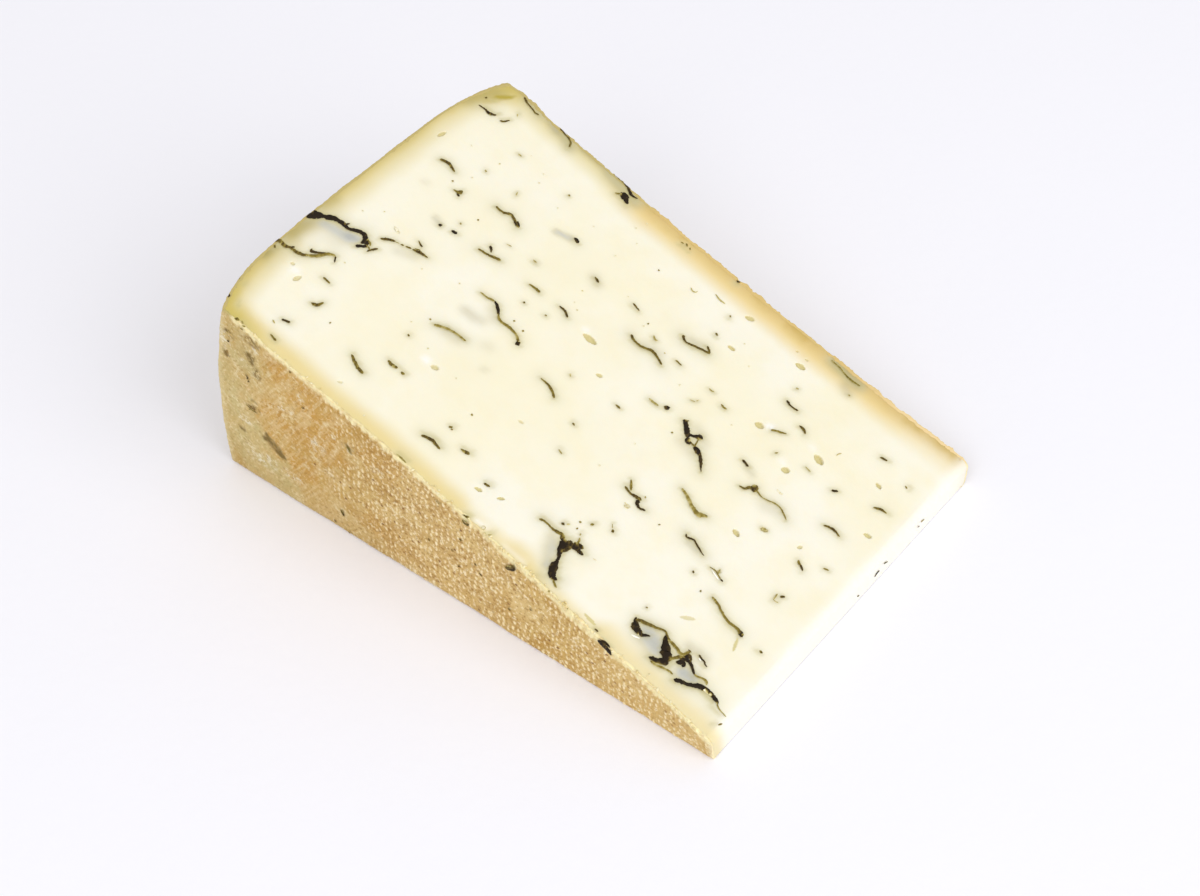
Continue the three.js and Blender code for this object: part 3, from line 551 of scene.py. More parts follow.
# Shreds that lie a little below the surface and only darken it: two ends, spread and strength
deepShreds = [
    (103, 33.2, 99.6, 33.6, 1.2, 0.35), (95.6, 30.1, 95, 30.3, 1.4, 0.2),
    (92.6, 25.9, 92.2, 26, 0.8, 0.25), (120.8, 44.6, 119.4, 44.2, 0.7, 0.5),
    (103.2, 60.3, 100.1, 61.3, 0.75, 0.75), (45.4, 47.2, 43.6, 46.6, 0.8, 0.4),
    (133.4, 27.6, 128.4, 28.8, 1.3, 0.75), (136.2, 25.2, 134.6, 26.6, 1.3, 0.3),
    (128.6, 29, 127.2, 29.6, 1.0, 0.9), (133, 25.2, 129, 26.6, 1.9, 0.25),
    (37.8, 7.2, 34.9, 6.4, 2.1, 0.95), (28.6, 6.2, 26.6, 6.6, 1.5, 1.0),
    (61.6, 8.6, 59.8, 7.8, 1.2, 0.45), (60.6, 6.6, 59.2, 4.8, 1.3, 0.45),
    (58.9, 3.6, 58.5, 4.6, 0.7, 0.5), (57, 46.6, 54, 45, 1.2, 0.3), (43.4, 26.7, 41.6, 26.6, 0.9, 0.5),
    (41.4, 75.2, 42.4, 76, 1.3, 0.45), (38, 43, 35.6, 43.8, 1.4, 0.25), (75.2, 53.8, 72, 54.2, 1.2, 0.25),
    (69.6, 61.4, 67.6, 61.8, 1.0, 0.4), (31, 10.8, 27.4, 11.2, 1.2, 0.4),
    (102.6, 27, 100, 27.4, 1.4, 0.35), (99.6, 37, 98.4, 36, 1.3, 0.3),
    (120.4, 33.4, 117.6, 34.8, 1.2, 0.3), (57.6, 42, 54, 41.4, 1.3, 0.25),
    (107.6, 50.4, 106.6, 50.7, 0.6, 0.25), (101.4, 51.6, 100.8, 51.7, 0.6, 0.3),
    (91.3, 57.8, 90.2, 57.2, 1.3, 0.35), (121, 79.5, 118.8, 78.7, 1.1, 0.5),
    (127.8, 49.2, 127.3, 49.4, 0.8, 0.2),
]

# Eyes in the upper cut face: distance from the axis and the near rind, length, width, turn in
# degrees from the line to the nose, depth, and how tan their floor is
upperEyes = [
    (83.2, 46.3, 3.4, 1.3, 0, 0.5, 1.0), (98.8, 19.4, 1.7, 1.0, 20, 0.5, 0.6),
    (128.6, 15.0, 1.9, 1.0, 75, 0.4, 0.6), (133.2, 60.2, 2.1, 0.8, 80, 0.4, 0.7),
    (64.8, 74.3, 2.1, 1.0, 20, 0.4, 0.9), (63.2, 65.9, 1.7, 0.9, 5, 0.4, 0.9),
    (51.3, 72.9, 2.2, 1.1, 5, 0.4, 2.2), (49.1, 56.2, 2.0, 1.3, 10, 0.5, 0.8),
    (36.6, 58.7, 2.6, 1.4, -15, 0.6, 0.8), (39.8, 52.1, 1.8, 1.3, 25, 0.5, 0.8),
    (38.5, 34.7, 1.8, 1.0, -15, 0.5, 0.8), (35.2, 39.1, 1.6, 0.8, 30, 0.4, 1.1),
    (76.9, 6.2, 1.6, 0.7, 15, 0.3, 1.1), (72.9, 7.8, 1.5, 0.6, 40, 0.3, 1.0),
    (22.2, 6.9, 1.2, 0.6, 20, 0.4, 0.4), (76.9, 41.4, 1.4, 0.8, 20, 0.3, 0.8),
    (131.4, 16.7, 1.0, 0.7, 10, 0.3, 0.5), (53.8, 75.3, 0.7, 0.5, 0, 0.2, 0.5),
    (28.3, 41.2, 1.1, 0.7, 60, 0.3, 0.6), (36.1, 26.1, 1.2, 0.6, 30, 0.2, 0.5),
    (80.6, 22.6, 1.3, 0.5, 5, 0.2, 0.5), (123.6, 36.8, 1.6, 0.5, -10, 0.2, 0.4),
    (51.3, 75.1, 0.8, 0.5, 10, 0.2, 0.6), (108.3, 4.4, 1.1, 0.4, 20, 0.2, 0.5),
    (56.0, 24.0, 1.2, 0.7, 0, 0.2, 0.4), (20.8, 52.6, 1.7, 0.9, 15, 0.4, 0.8),
    (25.4, 62.8, 1.5, 0.8, -20, 0.4, 0.8),
    # shallow ones, which are little more than a stain
    (34.5, 14.8, 3.1, 0.8, 36, 0.03, 0.55), (24.9, 17.3, 3.0, 0.6, -69, 0.03, 0.9),
    (46.7, 1.7, 3.0, 0.6, -5, 0.03, 1.3),
]

# The paste: a block with its sides just under the rind, cut into a fine grid
paste = {
    "sink": 0.5,  # how far its sides lie under the rind's outer face
    "lift": 0.15,  # the lower cut face is this far above the floor, and its shreds touch the floor
    "blockHeight": 20.0,  # before its upper edges are moved to the cut
    "rimCuts": 11,
    "noseSegments": 8,
    "gridStep": 0.6,
    "gridStart": 3.2,  # first cut beyond the nose face
    "gridEnd": 0.3,  # last cut short of the rim
    "fineCuts": 3,
    "fineReach": 0.5,
    "knife": [(13, 9, 0.1, 3), (3.1, 5, 0.035, 4)],  # waves that it left: length, width, height, seed
    "edgeDrop": 0.05,  # the cut face falls this much beside the rind
    "edgeDropAt": (0.955, 0.985),
    "eyeWall": 2.2,  # how steeply the eyes go down
    "eyeTan": (-0.05, 0.25),  # their tan sets in between these values of the outline
    "faint": 0.15,  # shreds paler than this cast no shade on the paste
    "longShred": 6.0,  # and from this length on they cast the most
    "shadow": (0.3, 0.65),  # strength of the soft shadow beside the least shred and the largest
    "shadowReach": (0.7, 1.7),
    "stain": (0.5, 0.8),
    "stainReach": 0.35,
    "deepMost": 0.85,
}


def knifeWaves(out, across):
    return clouds(out, across, paste["knife"])


def nearestOnShred(out, across, points):
    # distance to a line of points, and the width of the line there
    best = np.full(out.shape, 1e9)
    width = np.zeros(out.shape)
    for start, end in zip(points, points[1:]):
        ax, ay, aw = start
        bx, by, bw = end
        dx, dy = bx - ax, by - ay
        share = np.clip(((out - ax) * dx + (across - ay) * dy) / (dx * dx + dy * dy + 1e-9), 0, 1)
        gap = np.hypot(out - ax - share * dx, across - ay - share * dy)
        closer = gap < best
        best = np.where(closer, gap, best)
        width = np.where(closer, aw + share * (bw - aw), width)
    return best, width


def softSpots(out, across, spots, most=1.0):
    # strength of all the spots together at each place
    total = np.zeros(out.shape)
    for outA, acrossA, outB, acrossB, spread, strength in spots:
        gap = nearestOnShred(out, across, [(outA, acrossA, 1), (outB, acrossB, 1)])[0]
        total = total + (1 - total) * strength * most * np.exp(-(gap / spread) ** 2)
    return total


def leafStain(out, across, bits, strength, reach, spread, power):
    # how strongly bits of leaf stain the surface that they lie in
    total = np.zeros(out.shape)
    for dark, *points in bits:
        gap, width = nearestOnShred(out, across, points)
        total = np.maximum(total, strength * dark * np.exp(-(gap / (reach + spread * width)) ** power))
    return total


def shadeOfShreds(out, across):
    # a wide soft shadow and a narrow stain beside each shred, stronger where it is long and dark
    shadow = np.zeros(out.shape)
    stain = np.zeros(out.shape)
    for dark, *points in upperShreds:
        if dark < paste["faint"]:
            continue
        gap, width = nearestOnShred(out, across, points)
        length = sum(math.dist(a[:2], b[:2]) for a, b in zip(points, points[1:]))
        size = min(1.0, length / paste["longShred"]) * between((0.3, 1.0), dark)
        beyond = np.clip(gap - width / 2, 0, None)
        soft = np.exp(-(beyond / between(paste["shadowReach"], size)) ** 1.5)
        sharp = np.exp(-(beyond / paste["stainReach"]) ** 2)
        shadow = np.maximum(shadow, between(paste["shadow"], size) * soft)
        stain = np.maximum(stain, between(paste["stain"], size) * sharp)
    return shadow, stain


def eyePits(out, across):
    # depth of the eyes, and how tan the paste is in them
    pit = np.zeros(out.shape)
    floorTan = np.zeros(out.shape)
    for eyeOut, eyeAcross, length, width, turned, depth, tan in upperEyes:
        angle = math.radians(turned)
        dx, dy = eyeOut - out, across - eyeAcross
        lengthwise = (dx * math.cos(angle) + dy * math.sin(angle)) / (length / 2)
        sideways = (-dx * math.sin(angle) + dy * math.cos(angle)) / (width / 2)
        lens = np.sqrt(np.clip(1.15 - lengthwise ** 2 * 0.6, 0.2, 1.2))  # narrow towards both ends
        ring = lengthwise ** 2 + (sideways / lens) ** 2
        inside = np.clip(1 - ring, 0, 1)
        pit = np.maximum(pit, depth * np.minimum(1, inside * paste["eyeWall"]))
        floorTan = np.maximum(floorTan, tan * smoothStep(1 - ring, *paste["eyeTan"]))
    return pit, floorTan


def besideEye(face):
    x, y, z = toWheel(np.array(face.calc_center_median()))
    out = math.hypot(x, z)
    return face.normal.z > 0.5 and any(
        math.hypot(out - eye[0], y - eye[1]) < eye[2] / 2 + paste["fineReach"] for eye in upperEyes)


def cutPaste():
    rimPlace = radius - paste["sink"]
    low = np.array([-rimPlace, paste["sink"], paste["lift"]])
    high = np.array([-nose, wheel["height"] - paste["sink"], paste["blockHeight"]])
    bpy.ops.mesh.primitive_cube_add(size=1, location=toRow((low + high) / 2), scale=(high - low) * mm)
    piece = bpy.context.object
    piece.name = "cheese_paste"
    bakePlace(piece)

    # The upper edges go to the upper cut face
    rimLow, noseLow = toRow(low)[0], toRow(high)[0]
    top = paste["blockHeight"] * mm
    editPiece(piece)
    selectEdges(piece, lambda e: lowEnd(e, 2) > top - touch and highEnd(e, 0) < rimLow + touch)
    rimTop = toRow(layOnCutFace(rimPlace, 0.0, 0.0))
    bpy.ops.transform.translate(value=(rimTop[0] - rimLow, 0, rimTop[2] - top))
    selectEdges(piece, lambda e: lowEnd(e, 0) > noseLow - touch and lowEnd(e, 2) > top - touch)
    noseTop = nose * math.tan(wedgeAngle) * mm
    bpy.ops.transform.translate(value=(0, 0, noseTop - top))

    # The rim is cut up so that it can bulge, and the nose is rounded
    selectEdges(piece, lambda e: highEnd(e, 0) < rimLow / 2 and span(e, 1) < touch
                and span(e, 2) > rimTop[2] / 2)
    bpy.ops.mesh.subdivide(number_cuts=paste["rimCuts"])
    selectEdges(piece, lambda e: lowEnd(e, 0) > noseLow - touch and lowEnd(e, 2) > noseTop - touch)
    bpy.ops.mesh.bevel(offset=noseTangent * mm, segments=paste["noseSegments"], affect="EDGES")

    # Parallel cuts through the wedge, then cuts across it
    turn = wedgeAngle / 2
    normal = (math.cos(turn), 0, -math.sin(turn))
    for out in np.arange(nose + paste["gridStart"], rimPlace - paste["gridEnd"], paste["gridStep"]):
        bpy.ops.mesh.select_all(action="SELECT")
        bpy.ops.mesh.bisect(plane_co=toRow(np.array([-out, 0, 0])), plane_no=normal)
    selectEdges(piece, lambda e: span(e, 1) > half * mm)
    bpy.ops.mesh.subdivide(number_cuts=round(wheel["height"] / paste["gridStep"]) - 1)

    # A finer grid round the eyes
    selectFaces(piece, besideEye)
    bpy.ops.mesh.subdivide(number_cuts=paste["fineCuts"])
    leaveEdit()
    return piece


def makePaste():
    piece = cutPaste()

    # Bulging rim, waist, slanted nose
    rimPlace = radius - paste["sink"]
    x, y, z = toWheel(readPlaces(piece)).T
    upper = z > -x * math.tan(wedgeAngle) - 0.02
    turn = np.arctan2(z, -x)
    out = np.hypot(x, z)
    onRim = -x * math.cos(wedgeAngle / 2) + z * math.sin(wedgeAngle / 2)
    onRim = onRim > rimPlace * math.cos(wedgeAngle / 2) - 0.05
    out = np.where(onRim, rimPlace, out)
    across = (y - half) / half
    settled = settleWheel(out, across, turn)

    # Waves left by the knife, a softer edge beside the rind, and the eyes
    pit, floorTan = eyePits(out, y)
    waves = knifeWaves(out, y) - paste["edgeDrop"] * smoothStep(np.abs(across), *paste["edgeDropAt"])
    lift = np.where(upper, waves - pit, 0.0)
    settled = settled + lift[:, None] * np.array([cutSin, 0.0, cutCos])
    writePlaces(piece, toRow(settled))

    # Where the surface is darkened by shreds, and how far it is from each part of the rind
    shadow, stain = shadeOfShreds(out, y)
    onUpper = {
        "deep": softSpots(out, y, deepShreds, paste["deepMost"]),
        "pale": softSpots(out, y, whiteSpotsAndGlints),
        "margin": softSpots(out, y, darkMargins),
        "leaf": leafStain(out, y, upperStains, 1.0, 0.12, 0.5, 3),
        "shadow": shadow,
        "stain": stain,
        "eyeFloor": floorTan,
    }
    writeValues(piece, {name: np.where(upper, values, 0) for name, values in onUpper.items()})
    writeValues(piece, {
        "fromAxis": out,
        "fromNear": y,
        "fromFar": wheel["height"] - y,
        "fromRim": rimAt(y) - np.hypot(settled[:, 0], settled[:, 2]),
    })
    smoothByAngle(piece, 35)
    return piece


# The rind: one sheet bent round the wheel, in three parts that meet without a step. Its clouds have
# a length, a height, a strength and a seed.
rind = {
    "cornerRound": 0.5,
    "lineStep": 0.05,
    "threadPitch": 1.15,  # along the floor
    "threadClimb": 0.31,
    "knucklePitch": 1.45,  # up from the floor
    "knuckleLean": 0.2,
    "knuckleWidth": 0.28,
    "knuckleHeight": 0.52,
    "knuckleRise": 0.16,
    "sway": [(9, 8, 0.4, 11), (1.7, 2.2, 0.16, 12)],  # of the print along the floor
    "heave": [(8, 10, 0.5, 13), (1.6, 1.5, 0.25, 14)],  # and upwards
    "wear": [(6, 6, 1, 21), (2.5, 2.5, 0.4, 22)],
    "wornAt": (0.6, 1.1),  # the print is worn away where the wear is above these values
    "heelFade": (36, 22),  # it fades between these distances before the rim on the near side
    "backFade": (8, 24),  # comes back between these ones after it on the far side
    "faintPrint": 0.2,
    "rimPrint": 0.3,
    "waves": [(9, 7, 0.08, 31), (2.6, 2.4, 0.04, 32)],
    "grain": [(0.6, 0.6, 0.035, 33)],
    "heelGrain": [(0.4, 0.45, 0.05, 34)],
    "bandWidth": (1.2, 2.0),  # of the pale band under the cut, towards the heel and the nose
    "bandChange": (42, 62),  # from wide to narrow between these distances
    "bandKnob": 0.16,
    "bandDrop": 0.1,
    "teeth": (0.26, 0.17, 0.05),  # coarse and fine ones of the ragged far edge, and how far they are sunk
    "teethReach": 0.8,
    "spotSize": 0.3,
    "thickness": 1.0,
    "footRound": 0.9,
    "sunk": (0.1, 0.02),  # the relief is this much lower on the near side and elsewhere
    "noseReach": 9.0,
    "noseCurve": 2.4,
    "wrapNear": 7.0,  # how far the near part runs on round the rim
    "wrapFar": 3.0,
    "borderDepths": [0.08, 0.22, 0.42, 0.62],  # how far the turned-in edge rows lie inside the face
    "borderLifts": [0.01, 0.05, 0.04, -0.06, -0.5],  # and how far beyond its edge
    "tuck": 0.012,  # ends inside the cheese stay this much below the cut, as a share of its height
    "nearGrid": (0.187, 112),  # length of a column, number of rows
    "rimGrid": (0.3, 150),
    "farGrid": (0.28, 110),
}

# Patches of the near rind, each with its middle along the floor and above it and half its size
wornPatches = [
    (57, 11.5, 5.5, 4), (109, 30, 10, 8), (106, 5, 12, 5), (122, 15, 10, 20),
]
goldenPatches = [
    (113, 37.5, 5, 3), (107, 31, 9, 7), (104, 36, 9, 4), (105, 24.5, 7, 6), (100, 31, 6, 4),
    (114, 22, 7, 9), (113, 13, 5, 5), (90, 27, 8, 5), (88, 8, 8, 5),
]
greyPatches = [
    (122, 38, 6, 9), (127, 12, 9, 12), (120, 6, 7, 6), (119.5, 34, 2.5, 5), (128, 28, 5, 14),
]
mossPatches = [
    (118.4, 41.6, 2.2, 1.2), (119.4, 37, 1.5, 2.4), (118.6, 33.8, 1.0, 1.6), (126.4, 34.2, 0.8, 1.4),
    (124.2, 40.8, 1.4, 1.2), (127, 13.4, 1.0, 0.8), (121.9, 22, 1.6, 0.8),
]
powderPatches = [
    (118, 39.8, 1.7, 1.4), (122, 34.6, 1.2, 1.0), (126.6, 39, 2, 3.4), (114, 27.6, 2.4, 1),
    (104, 15.6, 3, 1), (115, 8, 2.4, 1.4), (100.4, 27.6, 1.2, 1.2), (124.5, 7, 4, 2.4), (126, 17, 2.4, 1),
    (120.4, 8.8, 1.8, 0.9), (106, 22, 2.6, 2.4), (108, 33, 1, 1.6), (82, 1.6, 5, 1.4),
    (90.4, 24.6, 1.4, 1.4),
]

# Bits of leaf pressed into the near rind: darkness, then points with distance from the axis,
# height above the floor and width
nearFlakes = [
    [0.5, (97.7, 27.2, 0.3), (97.2, 26.7, 0.5), (97.1, 26.0, 0.3)],
    [0.6, (70.7, 25.4, 0.3), (70.4, 24.8, 0.5), (69.8, 24.6, 0.5), (69.2, 25.1, 0.35)],
    [0.3, (70.2, 25.5, 0.5), (69.6, 25.5, 0.5)],
    [0.6, (61.4, 18.9, 0.2), (60.9, 19.4, 0.5), (60.3, 19.9, 0.6), (59.7, 20.4, 0.6), (59.2, 20.9, 0.3)],
    [0.85, (61.1, 18.9, 0.2), (60.4, 19.2, 0.4), (59.7, 19.6, 0.6), (59.3, 20.1, 0.5), (59.1, 20.6, 0.3)],
    [0.25, (60.8, 19.9, 0.35), (60.2, 20.4, 0.4)],
    [0.9, (40.6, 14.9, 0.9), (39.8, 14.6, 1.4), (38.9, 14.1, 1.4), (38.2, 13.4, 1.0), (37.8, 12.8, 0.4)],
    [0.6, (102.4, 6.7, 0.4), (102, 5.9, 0.6), (101.8, 5.2, 0.3)],
    [0.6, (104.9, 1.9, 0.3), (104.3, 1.6, 0.35)],
    [0.6, (101.4, 1.1, 0.35), (100.8, 0.9, 0.35)],
    [0.8, (121.9, 31.4, 0.25), (121.5, 30.9, 0.35), (121.7, 30.2, 0.3)],
    [0.7, (121.3, 30.1, 0.25), (121.7, 29.5, 0.3)],
    [0.5, (123.9, 22.3, 0.2), (123, 21.9, 0.3), (122.2, 21.7, 0.35), (121.2, 21.5, 0.2)],
    [0.4, (123.4, 21.2, 0.2), (122.6, 21.6, 0.25)],
    [0.8, (124.8, 38.5, 0.4), (124.6, 38.2, 0.4)],
    [0.6, (124.6, 41.3, 0.25), (124.0, 40.9, 0.35)],
    [0.5, (120.3, 44.2, 0.35), (119.5, 44.0, 0.35)],
    [0.5, (107.8, 31.2, 0.35), (107.5, 31.0, 0.35)],
    [0.5, (109.2, 39.4, 0.3), (108.9, 39.6, 0.3)],
    [0.5, (74.2, 14.9, 0.35), (73.9, 14.7, 0.35)],
    [0.6, (79.8, 13.9, 0.3), (79.5, 13.6, 0.35)],
    [0.6, (71.9, 19.3, 0.3), (71.5, 19.1, 0.4)],
    [0.7, (67.9, 12.9, 0.3), (67.3, 12.4, 0.45)],
    [0.6, (68.7, 14.9, 0.35), (68.4, 14.6, 0.3)],
    [0.4, (76.8, 26.2, 0.2), (75.9, 25.9, 0.3)],
    [0.7, (56.2, 11.6, 0.3), (55.9, 11.2, 0.3)],
    [0.7, (61.4, 7.8, 0.35), (61.0, 7.4, 0.3)],
    [0.7, (73.0, 11.3, 0.35), (72.7, 11.1, 0.3)],
]

# Leaf that lies just under the near rind and only stains it
nearStains = [
    [0.75, (119.9, 16.6, 0.4), (119.7, 15.3, 1.8), (118.9, 14.4, 2.4), (117.7, 13.4, 2.2),
     (116.2, 12, 0.8)],
    [0.95, (120.8, 14.6, 0.8), (119.8, 15, 1.2), (119, 14.4, 1.0)],
    [0.9, (118, 12.8, 1.0), (116.8, 12, 0.8)],
    [0.7, (127.4, 13.7, 0.9), (126.7, 13.5, 0.9)],
    [0.7, (97.7, 27.4, 0.8), (97.4, 26.4, 0.9), (97.0, 25.6, 0.4)],
    [0.4, (98.4, 27.4, 0.4), (96.4, 26.6, 0.4)],
    [0.6, (121.8, 24.4, 0.6), (120.8, 24.1, 0.5)],
    [0.3, (121.2, 8.2, 0.4), (120.4, 9.4, 0.3)],
    [0.3, (124.4, 1.8, 0.4), (122.6, 2.6, 0.4)],
    [0.7, (119.9, 38, 0.6), (119.4, 37, 0.9), (119.3, 35.4, 0.7)],
    [0.5, (126.8, 34.9, 0.6), (126.2, 34.0, 0.5)],
    [0.6, (124.8, 41.2, 0.4), (123.8, 41.2, 0.4)],
    [0.6, (117.9, 42.2, 0.5), (117, 41.2, 0.5)],
    [0.5, (70.6, 25.4, 0.4), (69.2, 25.4, 0.4)],
    [0.6, (61.3, 19, 0.6), (60.2, 19.8, 0.9), (59.3, 20.6, 0.6)],
    [0.4, (77.0, 26.4, 0.5), (75.8, 26.0, 0.4)],
]

# Small brown spots in the print of the near rind: distance from the axis and height
nearSpots = [
    (91, 15.3), (88.3, 12.6), (87.5, 8.9), (84.2, 10), (82.6, 11), (79.8, 13.6), (81.3, 19.8),
    (85.5, 18.2), (71.8, 19.2), (68.7, 14.6), (67.4, 12.6), (72.8, 11), (61.4, 8.8), (77.7, 9.1),
    (92.2, 21.6), (91.5, 9.8), (73.5, 15.2), (71.4, 21.9), (50.2, 4.8), (52.2, 5.4), (43.4, 8.7),
    (42.3, 6.8), (39.4, 9.7), (38.9, 12), (101.3, 15), (98.9, 14.9), (100.5, 11), (107.5, 16),
    (107.6, 31), (109.3, 39.3), (104.9, 1.6), (78.6, 2.6), (69, 1.4), (66.2, 20.3), (59.2, 15.8),
]


def sideLine():
    # the wheel's outline in section: near flat face, rim, far flat face
    flatOut = np.linspace(nose, radius - wheel["rimFall"], 500)
    rimAcross = np.linspace(-1, 1, 1200)
    out = np.concatenate([flatOut[:-1], radius - rimFall(rimAcross), flatOut[::-1][1:]])
    across = np.concatenate([-np.ones(499), rimAcross, np.ones(499)])
    length = np.concatenate([[0], np.cumsum(np.hypot(np.diff(out), np.diff(across * half)))])
    even = np.arange(0, length[-1], rind["lineStep"])
    # rounds both corners of the rim
    reach = round(rind["cornerRound"] / rind["lineStep"])
    weights = np.hanning(2 * reach + 1)
    weights /= weights.sum()
    smooth = []
    for line in (out, across):
        padded = np.pad(np.interp(even, length, line), reach, mode="reflect", reflect_type="odd")
        smooth.append(np.convolve(padded, weights, "valid"))
    return even, *smooth


lineLength, lineOut, lineAcross = sideLine()
nearEnd = lineLength[np.argmax(lineOut > radius - wheel["rimFall"] - 0.2)]
farEnd = lineLength[-1] - nearEnd


def noseProfile(share):
    # distance from the axis to the nose face, which leaves it in a curve to meet the upper cut face
    low = math.atan2(nose * math.tan(wedgeAngle) - noseTangent, nose) / wedgeAngle
    rise = np.clip((share - low) / (1 - low), 0, 1)
    return nose / np.cos(share * wedgeAngle) + noseTangent * rise ** rind["noseCurve"]


def clothPrint(along, height):
    # knuckles of the pressing cloth on a slanted lattice, along is measured on the floor
    along = along + clouds(along, height, rind["sway"])
    height = height + clouds(along, height, rind["heave"])
    pitch, climb = rind["threadPitch"], rind["threadClimb"]
    rise, lean = rind["knucklePitch"], rind["knuckleLean"]
    area = pitch * rise + climb * lean
    column = (along * rise + height * lean) / area
    row = (height * pitch - along * climb) / area
    nearColumn, nearRow = np.round(column), np.round(row)
    aside = column - nearColumn + 0.3 * (chance(nearColumn, nearRow, 16) - 0.5)
    above = row - nearRow + 0.34 * (chance(nearColumn, nearRow, 17) - 0.5)
    sideways = aside * pitch - above * lean
    upwards = aside * climb + above * rise
    size = np.clip(0.15 + 1.1 * chance(nearColumn, nearRow, 15), 0, 1.15)
    return size * np.exp(-(sideways / rind["knuckleWidth"]) ** 2 - (upwards / rind["knuckleHeight"]) ** 2)


def patchwork(along, height, patches, seed):
    # 1 inside the patches, 0 outside, with wandering outlines
    mask = np.zeros(np.shape(along))
    wander = clouds(along, height, [(3.5, 3.5, 0.45, seed), (1.2, 1.2, 0.25, seed + 1)])
    for middleAlong, middleHeight, halfLength, halfHeight in patches:
        ring = np.hypot((along - middleAlong) / halfLength, (height - middleHeight) / halfHeight) + wander
        mask = np.maximum(mask, 1 - smoothStep(ring, 0.3, 1.45))
    return mask


def floorPlace(along, height):
    # distance from the axis along the floor of a point on the near rind
    return np.sqrt(np.clip((along + nose) ** 2 - height ** 2, 1, None))


def printStrength(along, height):
    # the print is worn away in soft patches, and faint towards the heel
    worn = smoothStep(clouds(along, height, rind["wear"]), *rind["wornAt"])
    fadeStart, fadeEnd = (nearEnd - distance for distance in rind["heelFade"])
    backStart, backEnd = (farEnd + distance for distance in rind["backFade"])
    near = between((1.0, rind["faintPrint"]), smoothStep(along - 0.2 * height, fadeStart, fadeEnd))
    near = near * (1 - 0.85 * patchwork(floorPlace(along, height), height, wornPatches, 24))
    back = between((rind["faintPrint"], 1.0), smoothStep(along, backStart, backEnd))
    where = np.where(along < nearEnd + 20, near, np.where(along > farEnd - 10, back, rind["rimPrint"]))
    return (1 - 0.6 * worn) * where


def rindPoint(along, share, inward):
    out = np.interp(along, lineLength, lineOut)
    across = np.interp(along, lineLength, lineAcross)
    ahead = [np.interp(along + 0.1, lineLength, line) - np.interp(along - 0.1, lineLength, line)
             for line in (lineOut, lineAcross * half)]
    size = np.hypot(*ahead) + 1e-12
    normalOut, normalAcross = ahead[1] / size, -ahead[0] / size
    # the ends follow the nose face
    out = out + (noseProfile(share) - nose) * (1 - smoothStep(out, nose, nose + rind["noseReach"]))
    out = out - noseSlant(out, across)
    y = half + across * (half + rindOffset(out, across) * share)
    return out - normalOut * inward, y - normalAcross * inward, share * wedgeAngle


def edgeBand(along, toEdge):
    # the pale knobbly band beside the upper cut on the near side, and its relief
    nearSide = 1 - smoothStep(along, nearEnd - 3, nearEnd)
    noseward = 1 - smoothStep(along, *rind["bandChange"])
    width = between(rind["bandWidth"], noseward)
    width = width + 0.45 * cloud(along / 1.6, 3, 43) + 0.3 * cloud(along / 0.5, 7, 44)
    inBand = toEdge + 0.35 * cloud(along / 0.6, toEdge / 0.6, 45)
    band = (1 - smoothStep(inBand, width * 0.45, width)) * nearSide
    knobs = rind["bandKnob"] * between((0.5, 1.0), noseward) * cloud(along / 0.45, toEdge / 0.5, 46)
    relief = (knobs - rind["bandDrop"]) * band
    # ragged elsewhere
    coarse, fine, sunk = rind["teeth"]
    teeth = coarse * cloud(along / 1.7, 2, 47) + fine * cloud(along / 0.5, 4, 48) - sunk
    teeth = teeth * between((0.25, 1.0), smoothStep(along, farEnd - 6, farEnd))
    return band, nearSide, relief + teeth * (1 - nearSide) * np.exp(-(toEdge / rind["teethReach"]) ** 2)


def scatteredPatches(along, height):
    # patches of the rim and the far rind, in the manner of those on the near rind
    fromNose = np.minimum(along, lineLength[-1] - along)
    heelward = smoothStep(fromNose, nearEnd - 26, nearEnd - 8)
    golden = clouds(along, height, [(11, 9, 1, 71), (3, 3, 0.3, 72)])
    moss = clouds(along, height, [(1.6, 1.6, 1, 74), (7, 7, 0.7, 75)])
    white = clouds(along, height, [(1.8, 1.3, 1, 76), (9, 9, 0.7, 77)])
    return {
        "golden": smoothStep(golden, -0.35, 0.3),
        "grey": heelward * np.clip(0.4 + 1.3 * cloud(along / 9, height / 7, 73), 0, 0.9),
        "moss": smoothStep(moss, 0.75, 1.15) * heelward,
        "white": smoothStep(white, 0.5, 1.1) * heelward,
        "flat": 0.8 * smoothStep(cloud(along / 10, height / 8, 78), 0.3, 0.8),
    }


def markRind(piece, along, height, ground, outside):
    # ground is the distance from the axis along the floor
    onNear = along < nearEnd + 12
    values = scatteredPatches(along, height)
    for name, patches, seed in (
        ("moss", mossPatches, 65),
        ("golden", goldenPatches, 61),
        ("grey", greyPatches, 63),
        ("flat", wornPatches, 24),
        ("white", powderPatches, 67),
    ):
        values[name] = np.where(onNear, patchwork(ground, height, patches, seed), values[name])
    leaf = np.maximum(leafStain(ground, height, nearFlakes, 0.5, 0.3, 0.5, 2),
                      leafStain(ground, height, nearStains, 1.0, 0.25, 0.6, 2))
    spot = np.zeros(len(along))
    for out, up in nearSpots:
        spot = np.maximum(spot, np.exp(-(np.hypot(ground - out, height - up) / rind["spotSize"]) ** 2))
    values["leaf"] = leaf * onNear * outside
    values["spot"] = spot * onNear * outside
    values["fromNose"] = np.minimum(along, lineLength[-1] - along)
    values["along"] = along
    values["height"] = height
    writeValues(piece, values)


